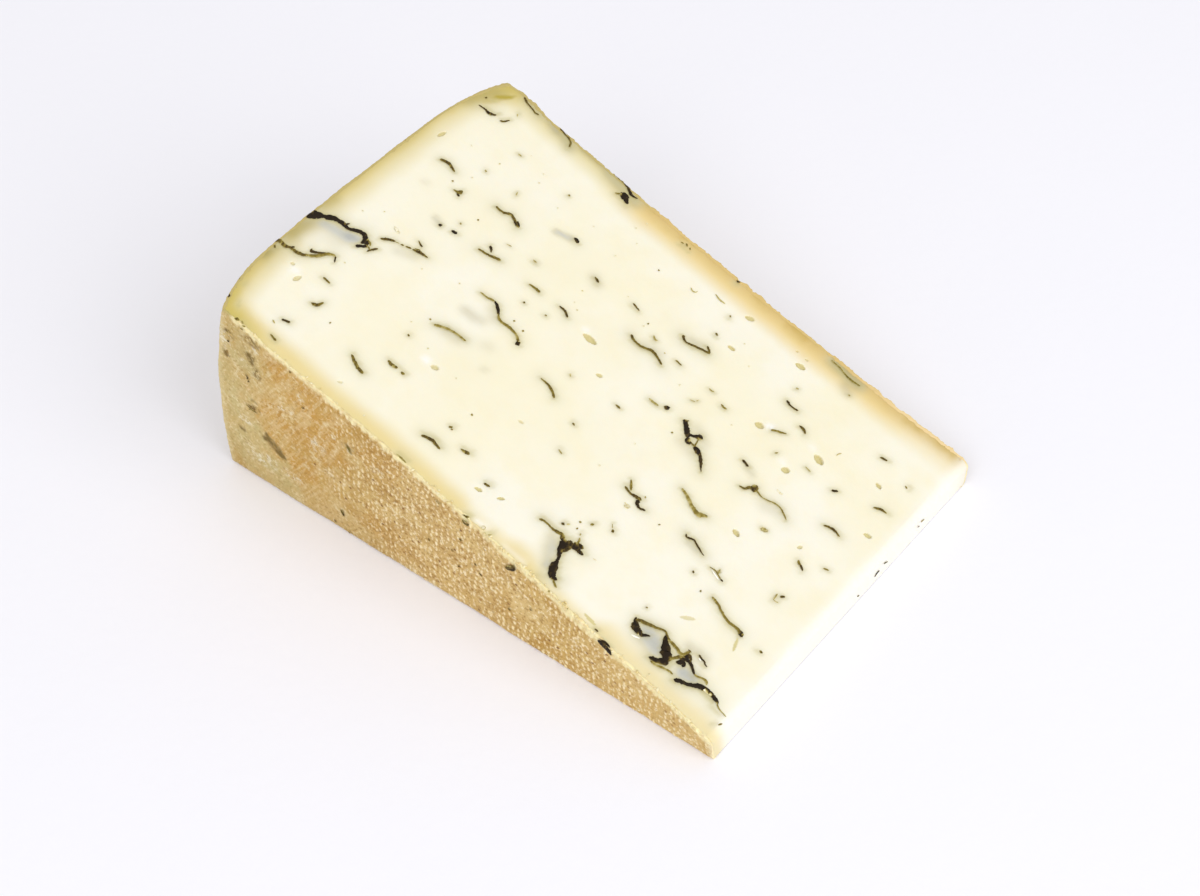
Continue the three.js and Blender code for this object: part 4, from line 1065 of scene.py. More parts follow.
def closeBack(piece, column, row, columns, rows):
    # a bridge from the lowest row to the highest, and a face at each end
    back = np.where(row == 0, 1, np.where(row == rows, 2, 0))
    editPiece(piece)

    def atBack(edge):
        first, second = (back[vert.index] for vert in edge.verts)
        return first > 0 and first == second

    def atEnd(edge):
        return edge.is_boundary and all(column[vert.index] == end for vert in edge.verts)

    selectEdges(piece, atBack)
    bpy.ops.mesh.bridge_edge_loops()
    for end in (0, columns):
        bpy.ops.mesh.select_all(action="DESELECT")
        selectEdges(piece, atEnd)
        bpy.ops.mesh.edge_face_add()
    turnOutwards()


def makeRind(name, start, end, grid, noseAtStart=False, noseAtEnd=False):
    # border columns at both ends and border rows above and below turn the sheet's edges inwards
    step, rows = grid
    depths = rind["borderDepths"] + [rind["thickness"]]
    border = len(depths)
    columns = round((end - start) / step)
    total, height = columns + 2 * border, rows + 2 * border
    bpy.ops.mesh.primitive_grid_add(x_subdivisions=total, y_subdivisions=height, size=1)
    piece = bpy.context.object
    piece.name = name
    bakePlace(piece)
    places = readPlaces(piece)
    column = np.round((places[:, 0] + 0.5) * total).astype(int)
    row = np.round((places[:, 1] + 0.5) * height).astype(int)
    along = start + (end - start) * np.clip((column - border) / columns, 0, 1)
    share = np.clip((row - border) / rows, 0, 1)

    def borderDepth(count):
        return np.interp(count, np.arange(border + 1), [0] + depths)

    def borderLift(count):
        return np.interp(count, np.arange(border + 1), [0] + rind["borderLifts"])

    left = np.clip(border - column, 0, border)
    right = np.clip(column - border - columns, 0, border)
    above = np.clip(row - border - rows, 0, border)
    below = np.clip(border - row, 0, border)
    inward = np.maximum.reduce([borderDepth(count) for count in (left, right, above, below)])
    outside = (inward < 0.1).astype(float)

    # Relief of the outer face
    plainOut, _, turn = rindPoint(along, share, 0.0)
    heightHere = plainOut * np.sin(turn)
    ground = floorPlace(along, heightHere)
    knuckle = clothPrint(ground, heightHere) * printStrength(along, heightHere)
    rough = clouds(along, heightHere, rind["heelGrain"]) * smoothStep(along, nearEnd - 34, nearEnd - 20)
    relief = rind["knuckleRise"] * knuckle + clouds(along, heightHere, rind["waves"] + rind["grain"])
    relief = relief + rough - np.where(along < nearEnd, *rind["sunk"])
    toEdge = (1 - share) * plainOut * wedgeAngle
    band, nearSide, edgeRelief = edgeBand(along, toEdge)
    relief = (relief + edgeRelief) * outside

    # Rounded foot, ragged lip, and ends inside the cheese that stay below the cut
    foot = rind["footRound"] * between((0.55, 1.0), smoothStep(along, 10, nearEnd * 0.6))
    footDepth = foot - np.sqrt(np.clip(foot ** 2 - np.clip(foot - heightHere, 0, foot) ** 2, 0, None))
    rag = 0.5 + 0.5 * cloud(along / 0.9, 5, 41) + 0.35 * cloud(along / 0.35, 9, 42)
    rag = np.clip(rag, 0, 1.3)
    inward = inward * np.where((above > 0) & (inward < 0.9), between((0.7, 1.3), np.clip(rag, 0, 1)), 1.0)
    inside = left * (not noseAtStart) + right * (not noseAtEnd) > 0
    share = share - np.where(inside, rind["tuck"] * np.maximum(left, right), 0)
    out, y, turn = rindPoint(along, share, inward + footDepth * 0.8 - relief)
    settled = polar(out, y, turn)

    # Border rows on the upper cut face and at the floor, border columns on the nose face
    lift = np.where(borderLift(above) < 0, borderLift(above), borderLift(above) * (0.3 + 1.3 * rag))
    settled += (lift * (above > 0))[:, None] * np.array([cutSin, 0, cutCos])
    settled[:, 2] += np.interp(below, [0, 3, border], [0, 0.05, 0.5])
    onNoseFace = borderLift(left) * noseAtStart + borderLift(right) * noseAtEnd
    settled[:, 0] += np.where(above > 0, 0, onNoseFace)
    settled[:, 2] = np.maximum(settled[:, 2], 0.0)
    writePlaces(piece, toRow(settled))

    onTop = np.minimum(above, 1)
    onNose = np.minimum(np.maximum(left * noseAtStart, right * noseAtEnd), 1)
    cutEdge = np.where(nearSide > 0.5, np.maximum(band, onTop), 0)
    writeValues(piece, {
        "knuckle": np.clip(knuckle * outside, 0, 1),
        "cutEdge": np.clip(np.maximum(cutEdge, onNose), 0, 1),
        "olive": np.clip((onTop + np.exp(-(toEdge / 0.5) ** 2)) * (1 - nearSide), 0, 1),
    })
    markRind(piece, along, heightHere, ground, outside)
    closeBack(piece, column, row, total, height)
    smoothByAngle(piece, 60)
    return piece


# Leaf strips are drawn as one curve with a width at each point, then flattened and laid in place
strip = {
    "step": 0.25,
    "flatness": 0.3,
    "proud": 0.1,
    "fray": 0.1,
    "ragged": 0.12,
    "thinnest": 0.12,
    "endTaper": (0.35, 8 / 3),  # share of the width left at the very end, and how fast it grows
    "wander": (-0.04, 0.05),  # of the height
    "wide": 0.8,  # strips of this width are as ragged and as dark as can be
    "speck": 0.6,  # strips shorter than this keep their full width
    "folded": 0.6,  # strips wider than this show lighter folds
    "foldChance": 0.4,
    "foldAside": 0.32,
    "foldLight": (0.2, 0.45),
    "roundness": 1,
    "paleEdge": 0.22,  # how much lighter a strip is along its sides
    "bumpSize": 0.5,
    "bumpHeight": 0.05,
    "margin": 0.15,  # strips of the upper cut stop this much short of the flat faces
    "rimMargin": 0.1,
}


def smoothLine(place, points, even):
    # a line through the points that turns smoothly at each of them
    if len(points) > 2:
        slopes = np.gradient(points, place, axis=0)
    else:
        slopes = np.repeat(np.diff(points, axis=0) / np.diff(place), 2, axis=0)
    index = np.clip(np.searchsorted(place, even, side="right") - 1, 0, len(place) - 2)
    size = (place[index + 1] - place[index])[:, None]
    t = ((even - place[index]) / size[:, 0])[:, None]
    first = (1 + 2 * t) * (1 - t) ** 2 * points[index] + t * (1 - t) ** 2 * size * slopes[index]
    second = t ** 2 * (3 - 2 * t) * points[index + 1] + t ** 2 * (t - 1) * size * slopes[index + 1]
    line = first + second
    line[:, 2] = np.clip(line[:, 2], strip["thinnest"], None)
    return line


def drawStrips(path, strips, seed):
    # adds one spline for each strip, and gives places with how dark the leaf is there
    rough = random.Random(seed)
    darkness = []
    for dark, *points in strips:
        points = np.array(points, dtype=float)
        place = np.concatenate([[0], np.cumsum(np.hypot(*np.diff(points[:, :2], axis=0).T))])
        length = place[-1]
        count = max(3, int(length / strip["step"]) + 1)
        line = smoothLine(place, points, np.linspace(0, length, count + 1))
        spline = path.data.splines.new("POLY")
        spline.points.add(count)
        endWidth, growth = strip["endTaper"]
        for index, (out, across, width) in enumerate(line):
            share = index / count
            taper = min(1.0, endWidth + growth * min(share, 1 - share) * length)
            if length < strip["speck"]:
                taper = 1.0
            ragged = strip["ragged"] * min(1.0, 0.4 + width / strip["wide"])
            width = max(strip["thinnest"], width * taper * (1 + rough.uniform(-ragged, ragged)))
            wander = strip["fray"] * width
            spline.points[index].co = (
                (out + rough.uniform(-wander, wander)) * mm,
                (across + rough.uniform(-wander, wander)) * mm,
                rough.uniform(*strip["wander"]) * mm,
                1,
            )
            spline.points[index].radius = width / 2
            deeper = 0.6 + 0.6 * min(1.0, width / strip["wide"]) if dark > 0 else 1.0
            darkHere = dark * deeper + rough.uniform(-0.1, 0.1)
            darkness.append((out, across, darkHere, width / 2))
            if width > strip["folded"] and dark > 0.4 and rough.random() < strip["foldChance"]:
                # a fold that catches the light
                aside = rough.uniform(-strip["foldAside"], strip["foldAside"]) * width
                lighter = darkHere - rough.uniform(*strip["foldLight"])
                darkness.append((out + aside, across - aside, lighter, width / 2))
    return np.array(darkness)


def makeStrips(name, strips, layDown, seed):
    bpy.ops.curve.primitive_nurbs_path_add()
    path = bpy.context.object
    path.name = name
    path.data.splines.clear()
    path.data.dimensions = "3D"
    path.data.bevel_depth = mm  # times the radius at each point
    path.data.bevel_resolution = strip["roundness"]
    path.data.use_fill_caps = True
    darkness = drawStrips(path, strips, seed)
    selectOnly(path)
    bpy.ops.object.convert(target="MESH")
    piece = bpy.context.object
    bakePlace(piece)
    places = readPlaces(piece) / mm

    # Each point takes the tone of the nearest place on a strip, lighter away from its middle
    tone = np.empty(len(places))
    batch = 2000
    for first in range(0, len(places), batch):
        part = places[first:first + batch, :2]
        gap = ((part[:, None] - darkness[None, :, :2]) ** 2).sum(axis=2)
        nearest = gap.argmin(axis=1)
        beside = np.sqrt(gap.min(axis=1)) / darkness[nearest, 3]
        lighter = strip["paleEdge"] * np.clip(beside, 0, 1.1) ** 2
        tone[first:first + batch] = darkness[nearest, 2] - lighter
    out, across, height = places.T
    height = height * strip["flatness"] + strip["proud"]
    bumps = cloud(out / strip["bumpSize"], across / strip["bumpSize"], seed)
    height = height + strip["bumpHeight"] * bumps
    writePlaces(piece, toRow(layDown(out, across, height)))
    writeValues(piece, {"dark": np.clip(tone, -0.5, 1)})
    editPiece(piece)
    turnOutwards()
    smoothByAngle(piece, 50)
    return piece


# Strips are drawn flat, and each of these lays them on one side of the wedge
def layOnUpperFace(out, across, height):
    out = np.minimum(out, rimAt(across) - strip["rimMargin"])
    low = strip["margin"] - rindOffset(out)
    across = np.clip(across, low, 2 * half + rindOffset(out, 1.0) - strip["margin"])
    return layOnCutFace(out, across, height + knifeWaves(out, across))


def layOnFlatRind(side, out, height, proud):
    # side is -1 for the near rind and 1 for the far one, out is measured from the axis along the floor
    share = np.arctan2(height, out) / wedgeAngle
    offset = rindOffset(np.hypot(out, height), max(side, 0.0))
    return np.stack([-out, half + side * (half + offset * share + proud), height], axis=-1)


def layOnNearRind(out, height, proud):
    return layOnFlatRind(-1, out, height, proud)


def layOnFarRind(out, height, proud):
    return layOnFlatRind(1, out, height, proud)


def layOnRim(across, height, proud):
    out = rimAt(across)
    return polar(out + proud, across, np.arcsin(height / out))


def layOnFloorFace(out, across, height):
    return np.stack([-out, across, np.clip(paste["lift"] - height, 0.0, 0.3)], axis=-1)


def layOnNose(across, height, proud):
    slant = wheel["noseSlant"] * (across - half) / half / 2
    return np.stack([slant - nose + proud, across, height], axis=-1)


# Bits of leaf that are scattered: how many, the limits of both measures that the side's laying
# function takes, and their sizes
rimFlakes = {
    "count": 22,
    "first": (5, 75),
    "second": (3, 44),
    "length": (0.8, 2.6),
    "width": (0.35, 0.9),
    "turned": 1.5,
    "seed": 31,
}
farFlakes = {
    "count": 20,
    "first": (28, 128),
    "second": (2, 44),
    "slope": math.tan(wedgeAngle),  # they stay under the upper cut
    "length": (0.6, 2.0),
    "width": (0.3, 0.7),
    "turned": 1.5,
    "seed": 32,
}
lowerShreds = {
    "count": 46,
    "first": (20, 130),
    "second": (4, 76),
    "length": (1.4, 7.0),
    "width": (0.35, 0.9),
    "turned": 0.7,
    "seed": 33,
}
noseFlakes = {
    "count": 6,
    "first": (20, 76),
    "second": (1.0, 3.4),
    "length": (0.6, 1.6),
    "width": (0.3, 0.5),
    "turned": 0.6,
    "seed": 34,
}


def scatterStrips(kind):
    # short bent strips in a repeatable order
    rough = random.Random(kind["seed"])
    strips = []
    while len(strips) < kind["count"]:
        x = rough.uniform(*kind["first"])
        y = rough.uniform(*kind["second"])
        if y > kind.get("slope", 10.0) * x - 2:
            continue
        length = rough.uniform(*kind["length"])
        width = rough.uniform(*kind["width"])
        heading = rough.uniform(-kind["turned"], kind["turned"])
        bend = rough.uniform(-0.25, 0.25) * length
        dark = rough.uniform(0.2, 1.0)
        dx, dy = math.cos(heading) * length / 2, math.sin(heading) * length / 2
        ends = (x - dx, y - dy, width * 0.6), (x + dx, y + dy, width * 0.5)
        strips.append([dark, ends[0], (x, y + bend * 0.5, width), ends[1]])
    return strips


# Crumbs that cling along the edge where the knife left the near rind
crumb = {
    "models": 4,
    "count": 70,
    "size": (0.14, 0.32),
    "along": (20, 126),
    "crowded": (48, 72),  # more of them lie here
    "crowdedShare": 0.4,
    "fromEdge": 0.9,
    "lift": 0.12,
    "rough": 0.22,
    "seed": 9,
}


def modelCrumb(rough, count):
    deselectAll()
    bpy.ops.mesh.primitive_ico_sphere_add(subdivisions=2, radius=mm, location=(0, 0, 0))
    bpy.ops.object.mode_set(mode="EDIT")
    bpy.ops.mesh.select_all(action="SELECT")
    bpy.ops.transform.vertex_random(offset=crumb["rough"] * mm, seed=count, uniform=0.6)
    bpy.ops.transform.resize(value=(1.2, rough.uniform(0.6, 1), rough.uniform(0.5, 0.8)))
    leaveEdit()


def makeCrumbs():
    # a few crumbs are modelled, the others are turned and resized copies of them
    rough = random.Random(crumb["seed"])
    pieces = []
    for count in range(crumb["count"]):
        if count < crumb["models"]:
            modelCrumb(rough, count)
        else:
            selectOnly(pieces[count % crumb["models"]])
            bpy.ops.object.duplicate()
        piece = bpy.context.object
        out = rough.uniform(*crumb["along"])
        if rough.random() < crumb["crowdedShare"]:
            out = rough.uniform(*crumb["crowded"])
        across = rough.uniform(0.0, crumb["fromEdge"]) - float(rindOffset(np.array(out)))
        piece.location = toRow(layOnCutFace(out, across, rough.uniform(0.0, crumb["lift"])))
        piece.rotation_euler = (0, 0, rough.uniform(0, math.pi))
        size = rough.uniform(*crumb["size"])
        piece.scale = (size, size, size)
        pieces.append(piece)
    selectOnly(*pieces)
    bpy.ops.object.transform_apply(location=True, rotation=True, scale=True)
    bpy.ops.object.join()
    piece = bpy.context.object
    piece.name = "cheese_crumbs"
    selectOnly(piece)
    bpy.ops.object.shade_smooth()
    return piece


# Materials
def tint(red, green, blue):
    # a colour as seen on a screen, turned into the linear values that Blender uses
    return tuple(channel / 12.92 if channel <= 0.04045 else ((channel + 0.055) / 1.055) ** 2.4
                 for channel in (red / 255, green / 255, blue / 255)) + (1.0,)


class Wire:
    # one socket, with the signs of arithmetic
    def __init__(self, surface, socket):
        self.surface = surface
        self.socket = socket

    def __add__(self, other):
        return self.surface.number("ADD", self, other)

    def __radd__(self, other):
        return self.surface.number("ADD", other, self)

    def __sub__(self, other):
        return self.surface.number("SUBTRACT", self, other)

    def __rsub__(self, other):
        return self.surface.number("SUBTRACT", other, self)

    def __mul__(self, other):
        return self.surface.number("MULTIPLY", self, other)

    def __rmul__(self, other):
        return self.surface.number("MULTIPLY", other, self)

    def __truediv__(self, other):
        return self.surface.number("DIVIDE", self, other)


class Surface:
    # a material whose colour is built up in covers, each over the ones before
    def __init__(self, name, colour=None):
        self.material = bpy.data.materials.new(name)
        self.material.use_nodes = True
        self.tree = self.material.node_tree
        self.tree.nodes.clear()
        self.places = self.node("ShaderNodeTexCoord", output=3)
        self.colour = colour

    def node(self, kind, settings=None, values=None, output=0):
        made = self.tree.nodes.new(kind)
        for name, value in (settings or {}).items():
            if name == "stops":
                self.setStops(made.color_ramp, value)
            else:
                setattr(made, name, value)
        for name, value in (values or {}).items():
            self.feed(made.inputs[name], value)
        return Wire(self, made.outputs[output]) if len(made.outputs) else None

    def setStops(self, ramp, stops):
        while len(ramp.elements) < len(stops):
            ramp.elements.new(0.5)
        for element, (place, colour) in zip(ramp.elements, stops):
            element.position = place
            element.color = colour

    def feed(self, socket, value):
        if isinstance(value, Wire):
            self.tree.links.new(value.socket, socket)
        else:
            socket.default_value = value

    def number(self, operation, first, second):
        return self.node("ShaderNodeMath", {"operation": operation}, {0: first, 1: second})

    def blend(self, factor, first, second, how="MIX"):
        return self.node("ShaderNodeMix", {"data_type": "RGBA", "blend_type": how, "clamp_factor": True},
                         {0: factor, 6: first, 7: second}, 2)

    def cover(self, factor, colour, how="MIX"):
        self.colour = self.blend(factor, self.colour, colour, how)

    def value(self, name):
        return self.node("ShaderNodeAttribute", {"attribute_name": name}, output=2)

    def noise(self, scale, detail=2.0, roughness=0.5, places=None):
        return self.node("ShaderNodeTexNoise", {}, {
            "Vector": places or self.places,
            "Scale": scale,
            "Detail": detail,
            "Roughness": roughness,
        })

    def ramp(self, factor, low, high):
        # 0 up to low, 1 from high on
        return self.node("ShaderNodeMapRange", {"interpolation_type": "SMOOTHSTEP"}, {
            "Value": factor,
            "From Min": low,
            "From Max": high,
            "To Min": 0.0,
            "To Max": 1.0,
        })

    def fall(self, factor, low, high):
        # 1 up to low, 0 from high on
        return 1 - self.ramp(factor, low, high)

    def bump(self, height, distance, strength, normal=None):
        values = {"Height": height, "Distance": distance, "Strength": strength}
        if normal:
            values["Normal"] = normal
        return self.node("ShaderNodeBump", {}, values)

    def finish(self, values):
        shader = self.node("ShaderNodeBsdfPrincipled", {}, {"Base Color": self.colour, **values})
        self.node("ShaderNodeOutputMaterial", {}, {"Surface": shader})
        return self.material


def pasteFinish():
    surface = Surface("cheese paste", tint(236, 230, 205))
    noise, ramp, fall, cover, value = (
        surface.noise, surface.ramp, surface.fall, surface.cover, surface.value)
    axis = value("fromAxis")
    cover(ramp(noise(38.0, 3.0), 0.38, 0.66), tint(237, 233, 217))
    cover(ramp(noise(170.0, 3.0), 0.4, 0.75) * 0.35, tint(235, 226, 192))
    cover(ramp(axis, 98.0, 120.0) * 0.12, tint(239, 236, 223))

    # Deeper yellow under the rind, in bands that wander in width: near, heel and far side
    wander = noise(55.0) * 2.2 - 1.1
    thin = ramp(axis, 43.0, 47.0) * fall(axis, 56.0, 63.0) * 2.0
    thin = thin + ramp(axis, 64.0, 68.0) * fall(axis, 74.0, 78.0) * 1.4
    near = value("fromNear") + wander + thin
    greyer = ramp(axis + wander * 4, 92.0, 108.0)
    far = value("fromFar") + wander + greyer * 1.1
    rim = value("fromRim") + wander
    nearBand = fall(near, 1.1, 5.6)
    farBand = fall(far, 2.4, 7.4) * (ramp(axis, 24.0, 36.0) * 0.5 + 0.5)
    cover(nearBand * (ramp(axis, 38.0, 50.0) * 0.25 + 0.75), tint(224, 206, 148))
    cover(fall(rim, 0.6, 6.4), tint(216, 201, 146))
    cover(fall(rim, -0.2, 2.4), tint(200, 180, 110))
    blotch = ramp(noise(150.0, 3.0), 0.44, 0.62)
    deepFar = surface.blend(blotch, tint(206, 177, 110), tint(196, 166, 88))
    deepFar = surface.blend(greyer, deepFar, tint(180, 160, 94))
    cover(farBand, surface.blend(greyer, tint(226, 203, 143), tint(220, 208, 160)))
    cover(fall(far, 0.2, 3.9) * (0.82 + blotch * 0.1), deepFar)

    # Both corners beside the heel are olive
    nearCorner = fall(near, 0.4, 4.4) * fall(rim, 1.5, 14.0)
    rimSide = fall(rim, 0.2, 3.0) * fall(near, 2.0, 12.0)
    farCorner = fall(far, 1.5, 13.0) * fall(rim, 1.0, 9.0)
    corner = surface.number("MAXIMUM", surface.number("MAXIMUM", nearCorner, rimSide), farCorner)
    cover(corner * 0.9, tint(198, 179, 92))

    # Olive-grey round the shreds, grey-blue where leaf lies deeper, tan in the eyes
    cover(value("margin"), tint(150, 138, 78))
    cover(value("shadow") * (1 - corner * 0.7), tint(206, 200, 168))
    deep = value("deep")
    cover(deep, surface.blend(ramp(deep, 0.25, 0.6), tint(166, 156, 116), tint(170, 172, 168)))
    cover(value("leaf"), tint(176, 158, 62))
    cover(value("stain") * 0.7, tint(186, 174, 112))
    cover(value("eyeFloor") * 1.3, tint(208, 196, 142))
    # whitish spots: partly real white smears, partly painted highlights beside the eyes
    cover(value("pale"), tint(242, 240, 234))
    # painted highlight: the nose face and its rounded edge made whiter, standing in for the light they
    # face
    cover(fall(axis, 16.0, 19.5) * (1 - nearBand) * 0.75, tint(240, 238, 230))

    normal = surface.bump(noise(130.0, 3.0), 0.00025, 0.35)
    return surface.finish({
        "Roughness": noise(200.0) * 0.2 + 0.36,
        "Normal": surface.bump(noise(900.0, 4.0), 0.00006, 0.5, normal),
        "Subsurface Weight": 0.3,
        "Subsurface Radius": (1.0, 0.85, 0.6),
        "Subsurface Scale": 0.001,
        "IOR": 1.45,
    })


def rindFinish():
    surface = Surface("cheese rind", tint(213, 182, 112))
    noise, ramp, fall, cover, value = (
        surface.noise, surface.ramp, surface.fall, surface.cover, surface.value)
    cover(ramp(noise(90.0, 4.0, 0.6), 0.42, 0.62), tint(203, 166, 88))
    mottle = ramp(noise(320.0, 3.0), 0.35, 0.65)
    speckle = noise(1300.0, 3.0, 0.6)
    golden, flat = value("golden"), value("flat")
    along, fromNose, height = value("along"), value("fromNose"), value("height")
    cover(golden * (mottle * 0.3 + 0.58), tint(201, 152, 62))
    cover(flat * (1 - golden) * 0.4, tint(210, 182, 126))

    # Fine streaks left by brushing
    slanted = surface.node("ShaderNodeMapping", {"vector_type": "TEXTURE"}, {
        "Vector": surface.places,
        "Rotation": (0.0, math.radians(-52), 0.0),
        "Scale": (7.0, 1.0, 1.0),
    })
    heel = ramp(fromNose, 74.0, 94.0)
    streak = ramp(noise(1300.0, 3.0, places=slanted), 0.44, 0.62)
    cover(streak * (heel * 0.4 + 0.06), tint(228, 204, 154))

    # Grey-green and powdery towards the heel
    cover(value("grey") * (mottle * 0.4 + 0.4), tint(200, 184, 124))
    powder = ramp(noise(260.0, 5.0, 0.75), 0.54, 0.64) * ramp(speckle, 0.4, 0.5)
    cover(powder * (heel * 0.55 + 0.05), tint(236, 222, 180))
    white = value("white") * ramp(noise(700.0, 4.0, 0.7), 0.48, 0.6)
    cover(white * 0.85, tint(240, 232, 206))
    moss = value("moss") * ramp(noise(900.0, 4.0, 0.65), 0.42, 0.56)
    cover(moss * 0.85, tint(114, 86, 14))

    # Pale tops of the knuckles, brown between them: partly the print's own colour, partly a painted
    # highlight on the tops and painted shade between them
    knuckle = ramp(value("knuckle"), 0.12, 0.7)
    printed = (1 - flat) * (1 - heel * 0.7)
    noseward = fall(fromNose, 14.0, 44.0)
    between = (1 - knuckle) * printed * (mottle * 0.55 + 0.3) * (1 - noseward * 0.5)
    # brown between the knuckles, partly their own colour and partly painted shade in the hollows
    cover(between, tint(178, 136, 56))
    middle = ramp(fromNose, 36.0, 54.0) * fall(fromNose, 70.0, 86.0)
    cover(noseward * 0.16 + middle * 0.2, tint(238, 216, 164))
    # pale knuckle tops, partly their own colour and partly a painted highlight
    cover(knuckle * 0.75, tint(244, 226, 182))
    cover(ramp(speckle, 0.54, 0.66) * (0.6 - heel * 0.25), tint(248, 234, 196))
    cover(fall(speckle, 0.33, 0.45) * (0.7 - noseward * 0.3 - heel * 0.3), tint(152, 110, 36))
    burnt = ramp(noise(2300.0), 0.54, 0.68)
    cover(burnt * printed * (0.45 - noseward * 0.2), tint(150, 104, 34))
    leaf = value("leaf") * (speckle * 1.5 + mottle * 0.4 + 0.1)
    cover(ramp(leaf, 0.1, 1.0) * 0.92, tint(112, 88, 8))

    # Small brown pits, few of them towards the heel
    dots = surface.node("ShaderNodeTexVoronoi", {"feature": "F1"}, {
        "Vector": surface.places,
        "Scale": 640.0,
    })
    pit = fall(dots, 0.12, 0.3) * ramp(noise(240.0), 0.52, 0.6) * (1 - heel * 0.85)
    cover(pit * 0.6, tint(142, 94, 24))
    spot = ramp(value("spot") * (speckle + 0.6), 0.15, 0.8)
    cover(spot * 0.85, tint(116, 70, 8))

    # Darker towards the heel and down to the foot
    shaded = ramp(fromNose, 62.0, 86.0)
    cover(shaded, (0.93, 0.915, 0.875, 1.0), "MULTIPLY")
    cover(fall(height, 0.0, 16.0) * shaded * 0.6, (0.86, 0.83, 0.78, 1.0), "MULTIPLY")

    # Pale crumbly edge under the cut on the near side, olive to tan edge elsewhere, grey foot that is
    # partly its own tint and partly painted contact shade
    cover(ramp(along, nearEnd - 1.5, nearEnd + 0.5) * 0.5, tint(226, 212, 166))
    crumbly = noise(700.0, 3.0)
    cover(value("cutEdge") * (ramp(crumbly, 0.35, 0.6) * 0.45 + 0.5), tint(242, 229, 178))
    farTan = ramp(along, farEnd + 30.0, farEnd + 44.0)
    lip = surface.blend(farTan, tint(184, 166, 104), tint(206, 178, 112))
    lip = surface.blend(ramp(along, farEnd + 84.0, farEnd + 106.0), lip, tint(226, 200, 146))
    cover(value("olive"), lip)
    # the grey foot: partly the rind's own tint, partly painted shade where it meets the floor
    foot = fall(height + crumbly, 0.6, 2.2) * ramp(along, 40.0, 70.0)
    cover(foot * 0.3, tint(190, 168, 120))
    cover(fall(along, 0.0, 1.6) * 0.7, tint(236, 222, 180))
    return surface.finish({
        "Roughness": 0.66 + 0.2 * powder,
        "Normal": surface.bump(noise(1400.0, 4.0), 0.00008, 0.6),
        "Subsurface Weight": 0.08,
        "Subsurface Radius": (1.0, 0.6, 0.3),
        "Subsurface Scale": 0.0008,
        "IOR": 1.45,
    })


def herbFinish():
    surface = Surface("garlic leaf")
    tone = surface.value("dark") + surface.noise(900.0, 3.0) * 0.4 - 0.2
    # tones below 0 run to white, which gives the painted glints on the shreds
    surface.colour = surface.node("ShaderNodeValToRGB", {"stops": [
        (0.0, tint(250, 248, 238)),
        (0.12, tint(244, 238, 214)),
        (0.32, tint(196, 182, 120)),
        (0.5, tint(134, 118, 52)),
        (0.7, tint(84, 68, 32)),
        (0.9, tint(38, 29, 18)),
    ]}, {"Fac": (tone + 0.5) / 1.5})
    return surface.finish({
        "Roughness": surface.noise(600.0) * 0.25 + 0.45,
        "Normal": surface.bump(surface.noise(1600.0, 3.0), 0.0001, 0.7),
        "Specular IOR Level": 0.15,
        "IOR": 1.45,
    })


def crumbFinish():
    surface = Surface("rind crumbs", tint(238, 228, 190))
    surface.cover(surface.ramp(surface.noise(800.0, 3.0), 0.4, 0.65), tint(222, 202, 142))
    return surface.finish({
        "Roughness": 0.75,
        "Normal": surface.bump(surface.noise(1500.0, 3.0), 0.0001, 0.6),
        "Specular IOR Level": 0.2,
    })


def floorFinish():
    surface = Surface("white table", tint(244, 243, 249))
    surface.cover(surface.noise(30.0, 3.0) * 0.4, tint(240, 240, 247))
    return surface.finish({
        "Roughness": 0.7,
        "Normal": surface.bump(surface.noise(350.0, 4.0), 0.0002, 0.25),
    })


# Camera at the photograph's angle
camera = {
    "place": (0.17165, -0.19938, 0.29356),
    "right": (0.7882, 0.6145, -0.0337),
    "down": (0.4363, -0.5966, -0.6736),
    "forward": (-0.4340, 0.5163, -0.7383),
    "lens": 60.6,
}


def makeCamera():
    bpy.ops.object.camera_add(location=camera["place"])
    made = bpy.context.object
    made.name = "view"
    right, up, back = Vector(camera["right"]), -Vector(camera["down"]), -Vector(camera["forward"])
    turned = Matrix((right, up, back)).transposed().to_4x4()
    made.matrix_world = Matrix.Translation(camera["place"]) @ turned
    made.data.lens = camera["lens"]
    made.data.sensor_width = 36
    made.data.clip_start = 0.01
    bpy.context.scene.camera = made


# Soft light: a bright room, a large lamp to the right and a smaller one in front
light = {
    "room": 0.66,
    "roomColour": (1.0, 1.0, 1.0, 1.0),
    "keyPlace": (2.1, -0.1, 1.5),
    "keySize": 2.2,
    "keyPower": 30.0,
    "fillPlace": (0.5, -1.6, 1.7),
    "fillSize": 1.8,
    "fillPower": 17.0,
}


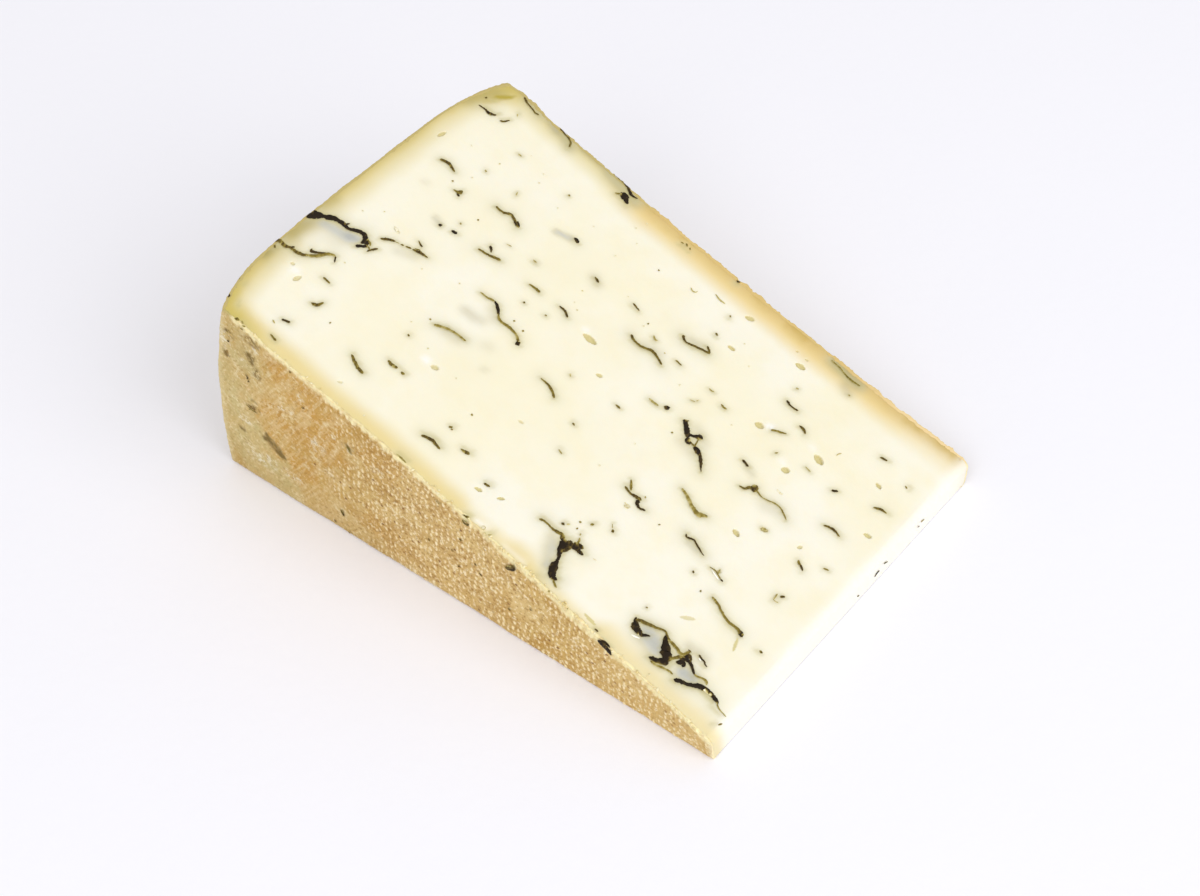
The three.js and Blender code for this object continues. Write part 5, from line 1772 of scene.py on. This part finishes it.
def makeLamp(name):
    place = light[name + "Place"]
    bpy.ops.object.light_add(type="AREA", location=place)
    lamp = bpy.context.object
    lamp.name = name
    lamp.data.shape = "DISK"
    lamp.data.size = light[name + "Size"]
    lamp.data.energy = light[name + "Power"]
    lamp.rotation_euler = (-Vector(place)).to_track_quat("-Z", "Y").to_euler()


def makeLight():
    world = bpy.data.worlds.new("room")
    world.use_nodes = True
    ground = world.node_tree.nodes["Background"]
    ground.inputs["Color"].default_value = light["roomColour"]
    ground.inputs["Strength"].default_value = light["room"]
    bpy.context.scene.world = world
    makeLamp("key")
    makeLamp("fill")
    bpy.context.scene.view_settings.view_transform = "Standard"


def makeFloor():
    bpy.ops.mesh.primitive_plane_add(size=6, location=(0, 0, 0))
    floor = bpy.context.object
    floor.name = "table"
    floor.data.materials.append(floorFinish())


def dress(piece, material):
    piece.data.materials.clear()
    piece.data.materials.append(material)
    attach(piece, "root")
    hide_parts("cheese_wedge")
    print(piece.name, len(piece.data.polygons), "faces")


deselectAll()
makeCamera()
makeLight()
makeFloor()

herb = herbFinish()
rindMaterial = rindFinish()

dress(makePaste(), pasteFinish())
print("paste done")

nearStop = nearEnd + rind["wrapNear"]
farStart = farEnd - rind["wrapFar"]
for rindPart in (
    makeRind("rind_near", 0.0, nearStop, rind["nearGrid"], noseAtStart=True),
    makeRind("rind_rim", nearStop, farStart, rind["rimGrid"]),
    makeRind("rind_far", farStart, lineLength[-1], rind["farGrid"], noseAtEnd=True),
):
    dress(rindPart, rindMaterial)
print("rind done")

specks = [[0.35, (out + 0.12, across, 0.42), (out - 0.12, across, 0.36)] for out, across in tinySpecks]
specks += [[-0.05, (out + 0.1, across, 0.4), (out - 0.1, across, 0.34)] for out, across in faintSpecks]
for name, strips, layDown, seed in (
    ("herb_upper", upperShreds + specks, layOnUpperFace, 5),
    ("herb_near_rind", nearFlakes, layOnNearRind, 6),
    ("herb_rim", scatterStrips(rimFlakes), layOnRim, 7),
    ("herb_far_rind", scatterStrips(farFlakes), layOnFarRind, 8),
    ("herb_lower", scatterStrips(lowerShreds), layOnFloorFace, 9),
    ("herb_nose", scatterStrips(noseFlakes), layOnNose, 10),
):
    dress(makeStrips(name, strips, layDown, seed), herb)
print("herbs done")

dress(makeCrumbs(), crumbFinish())
print("crumbs done")

deselectAll()
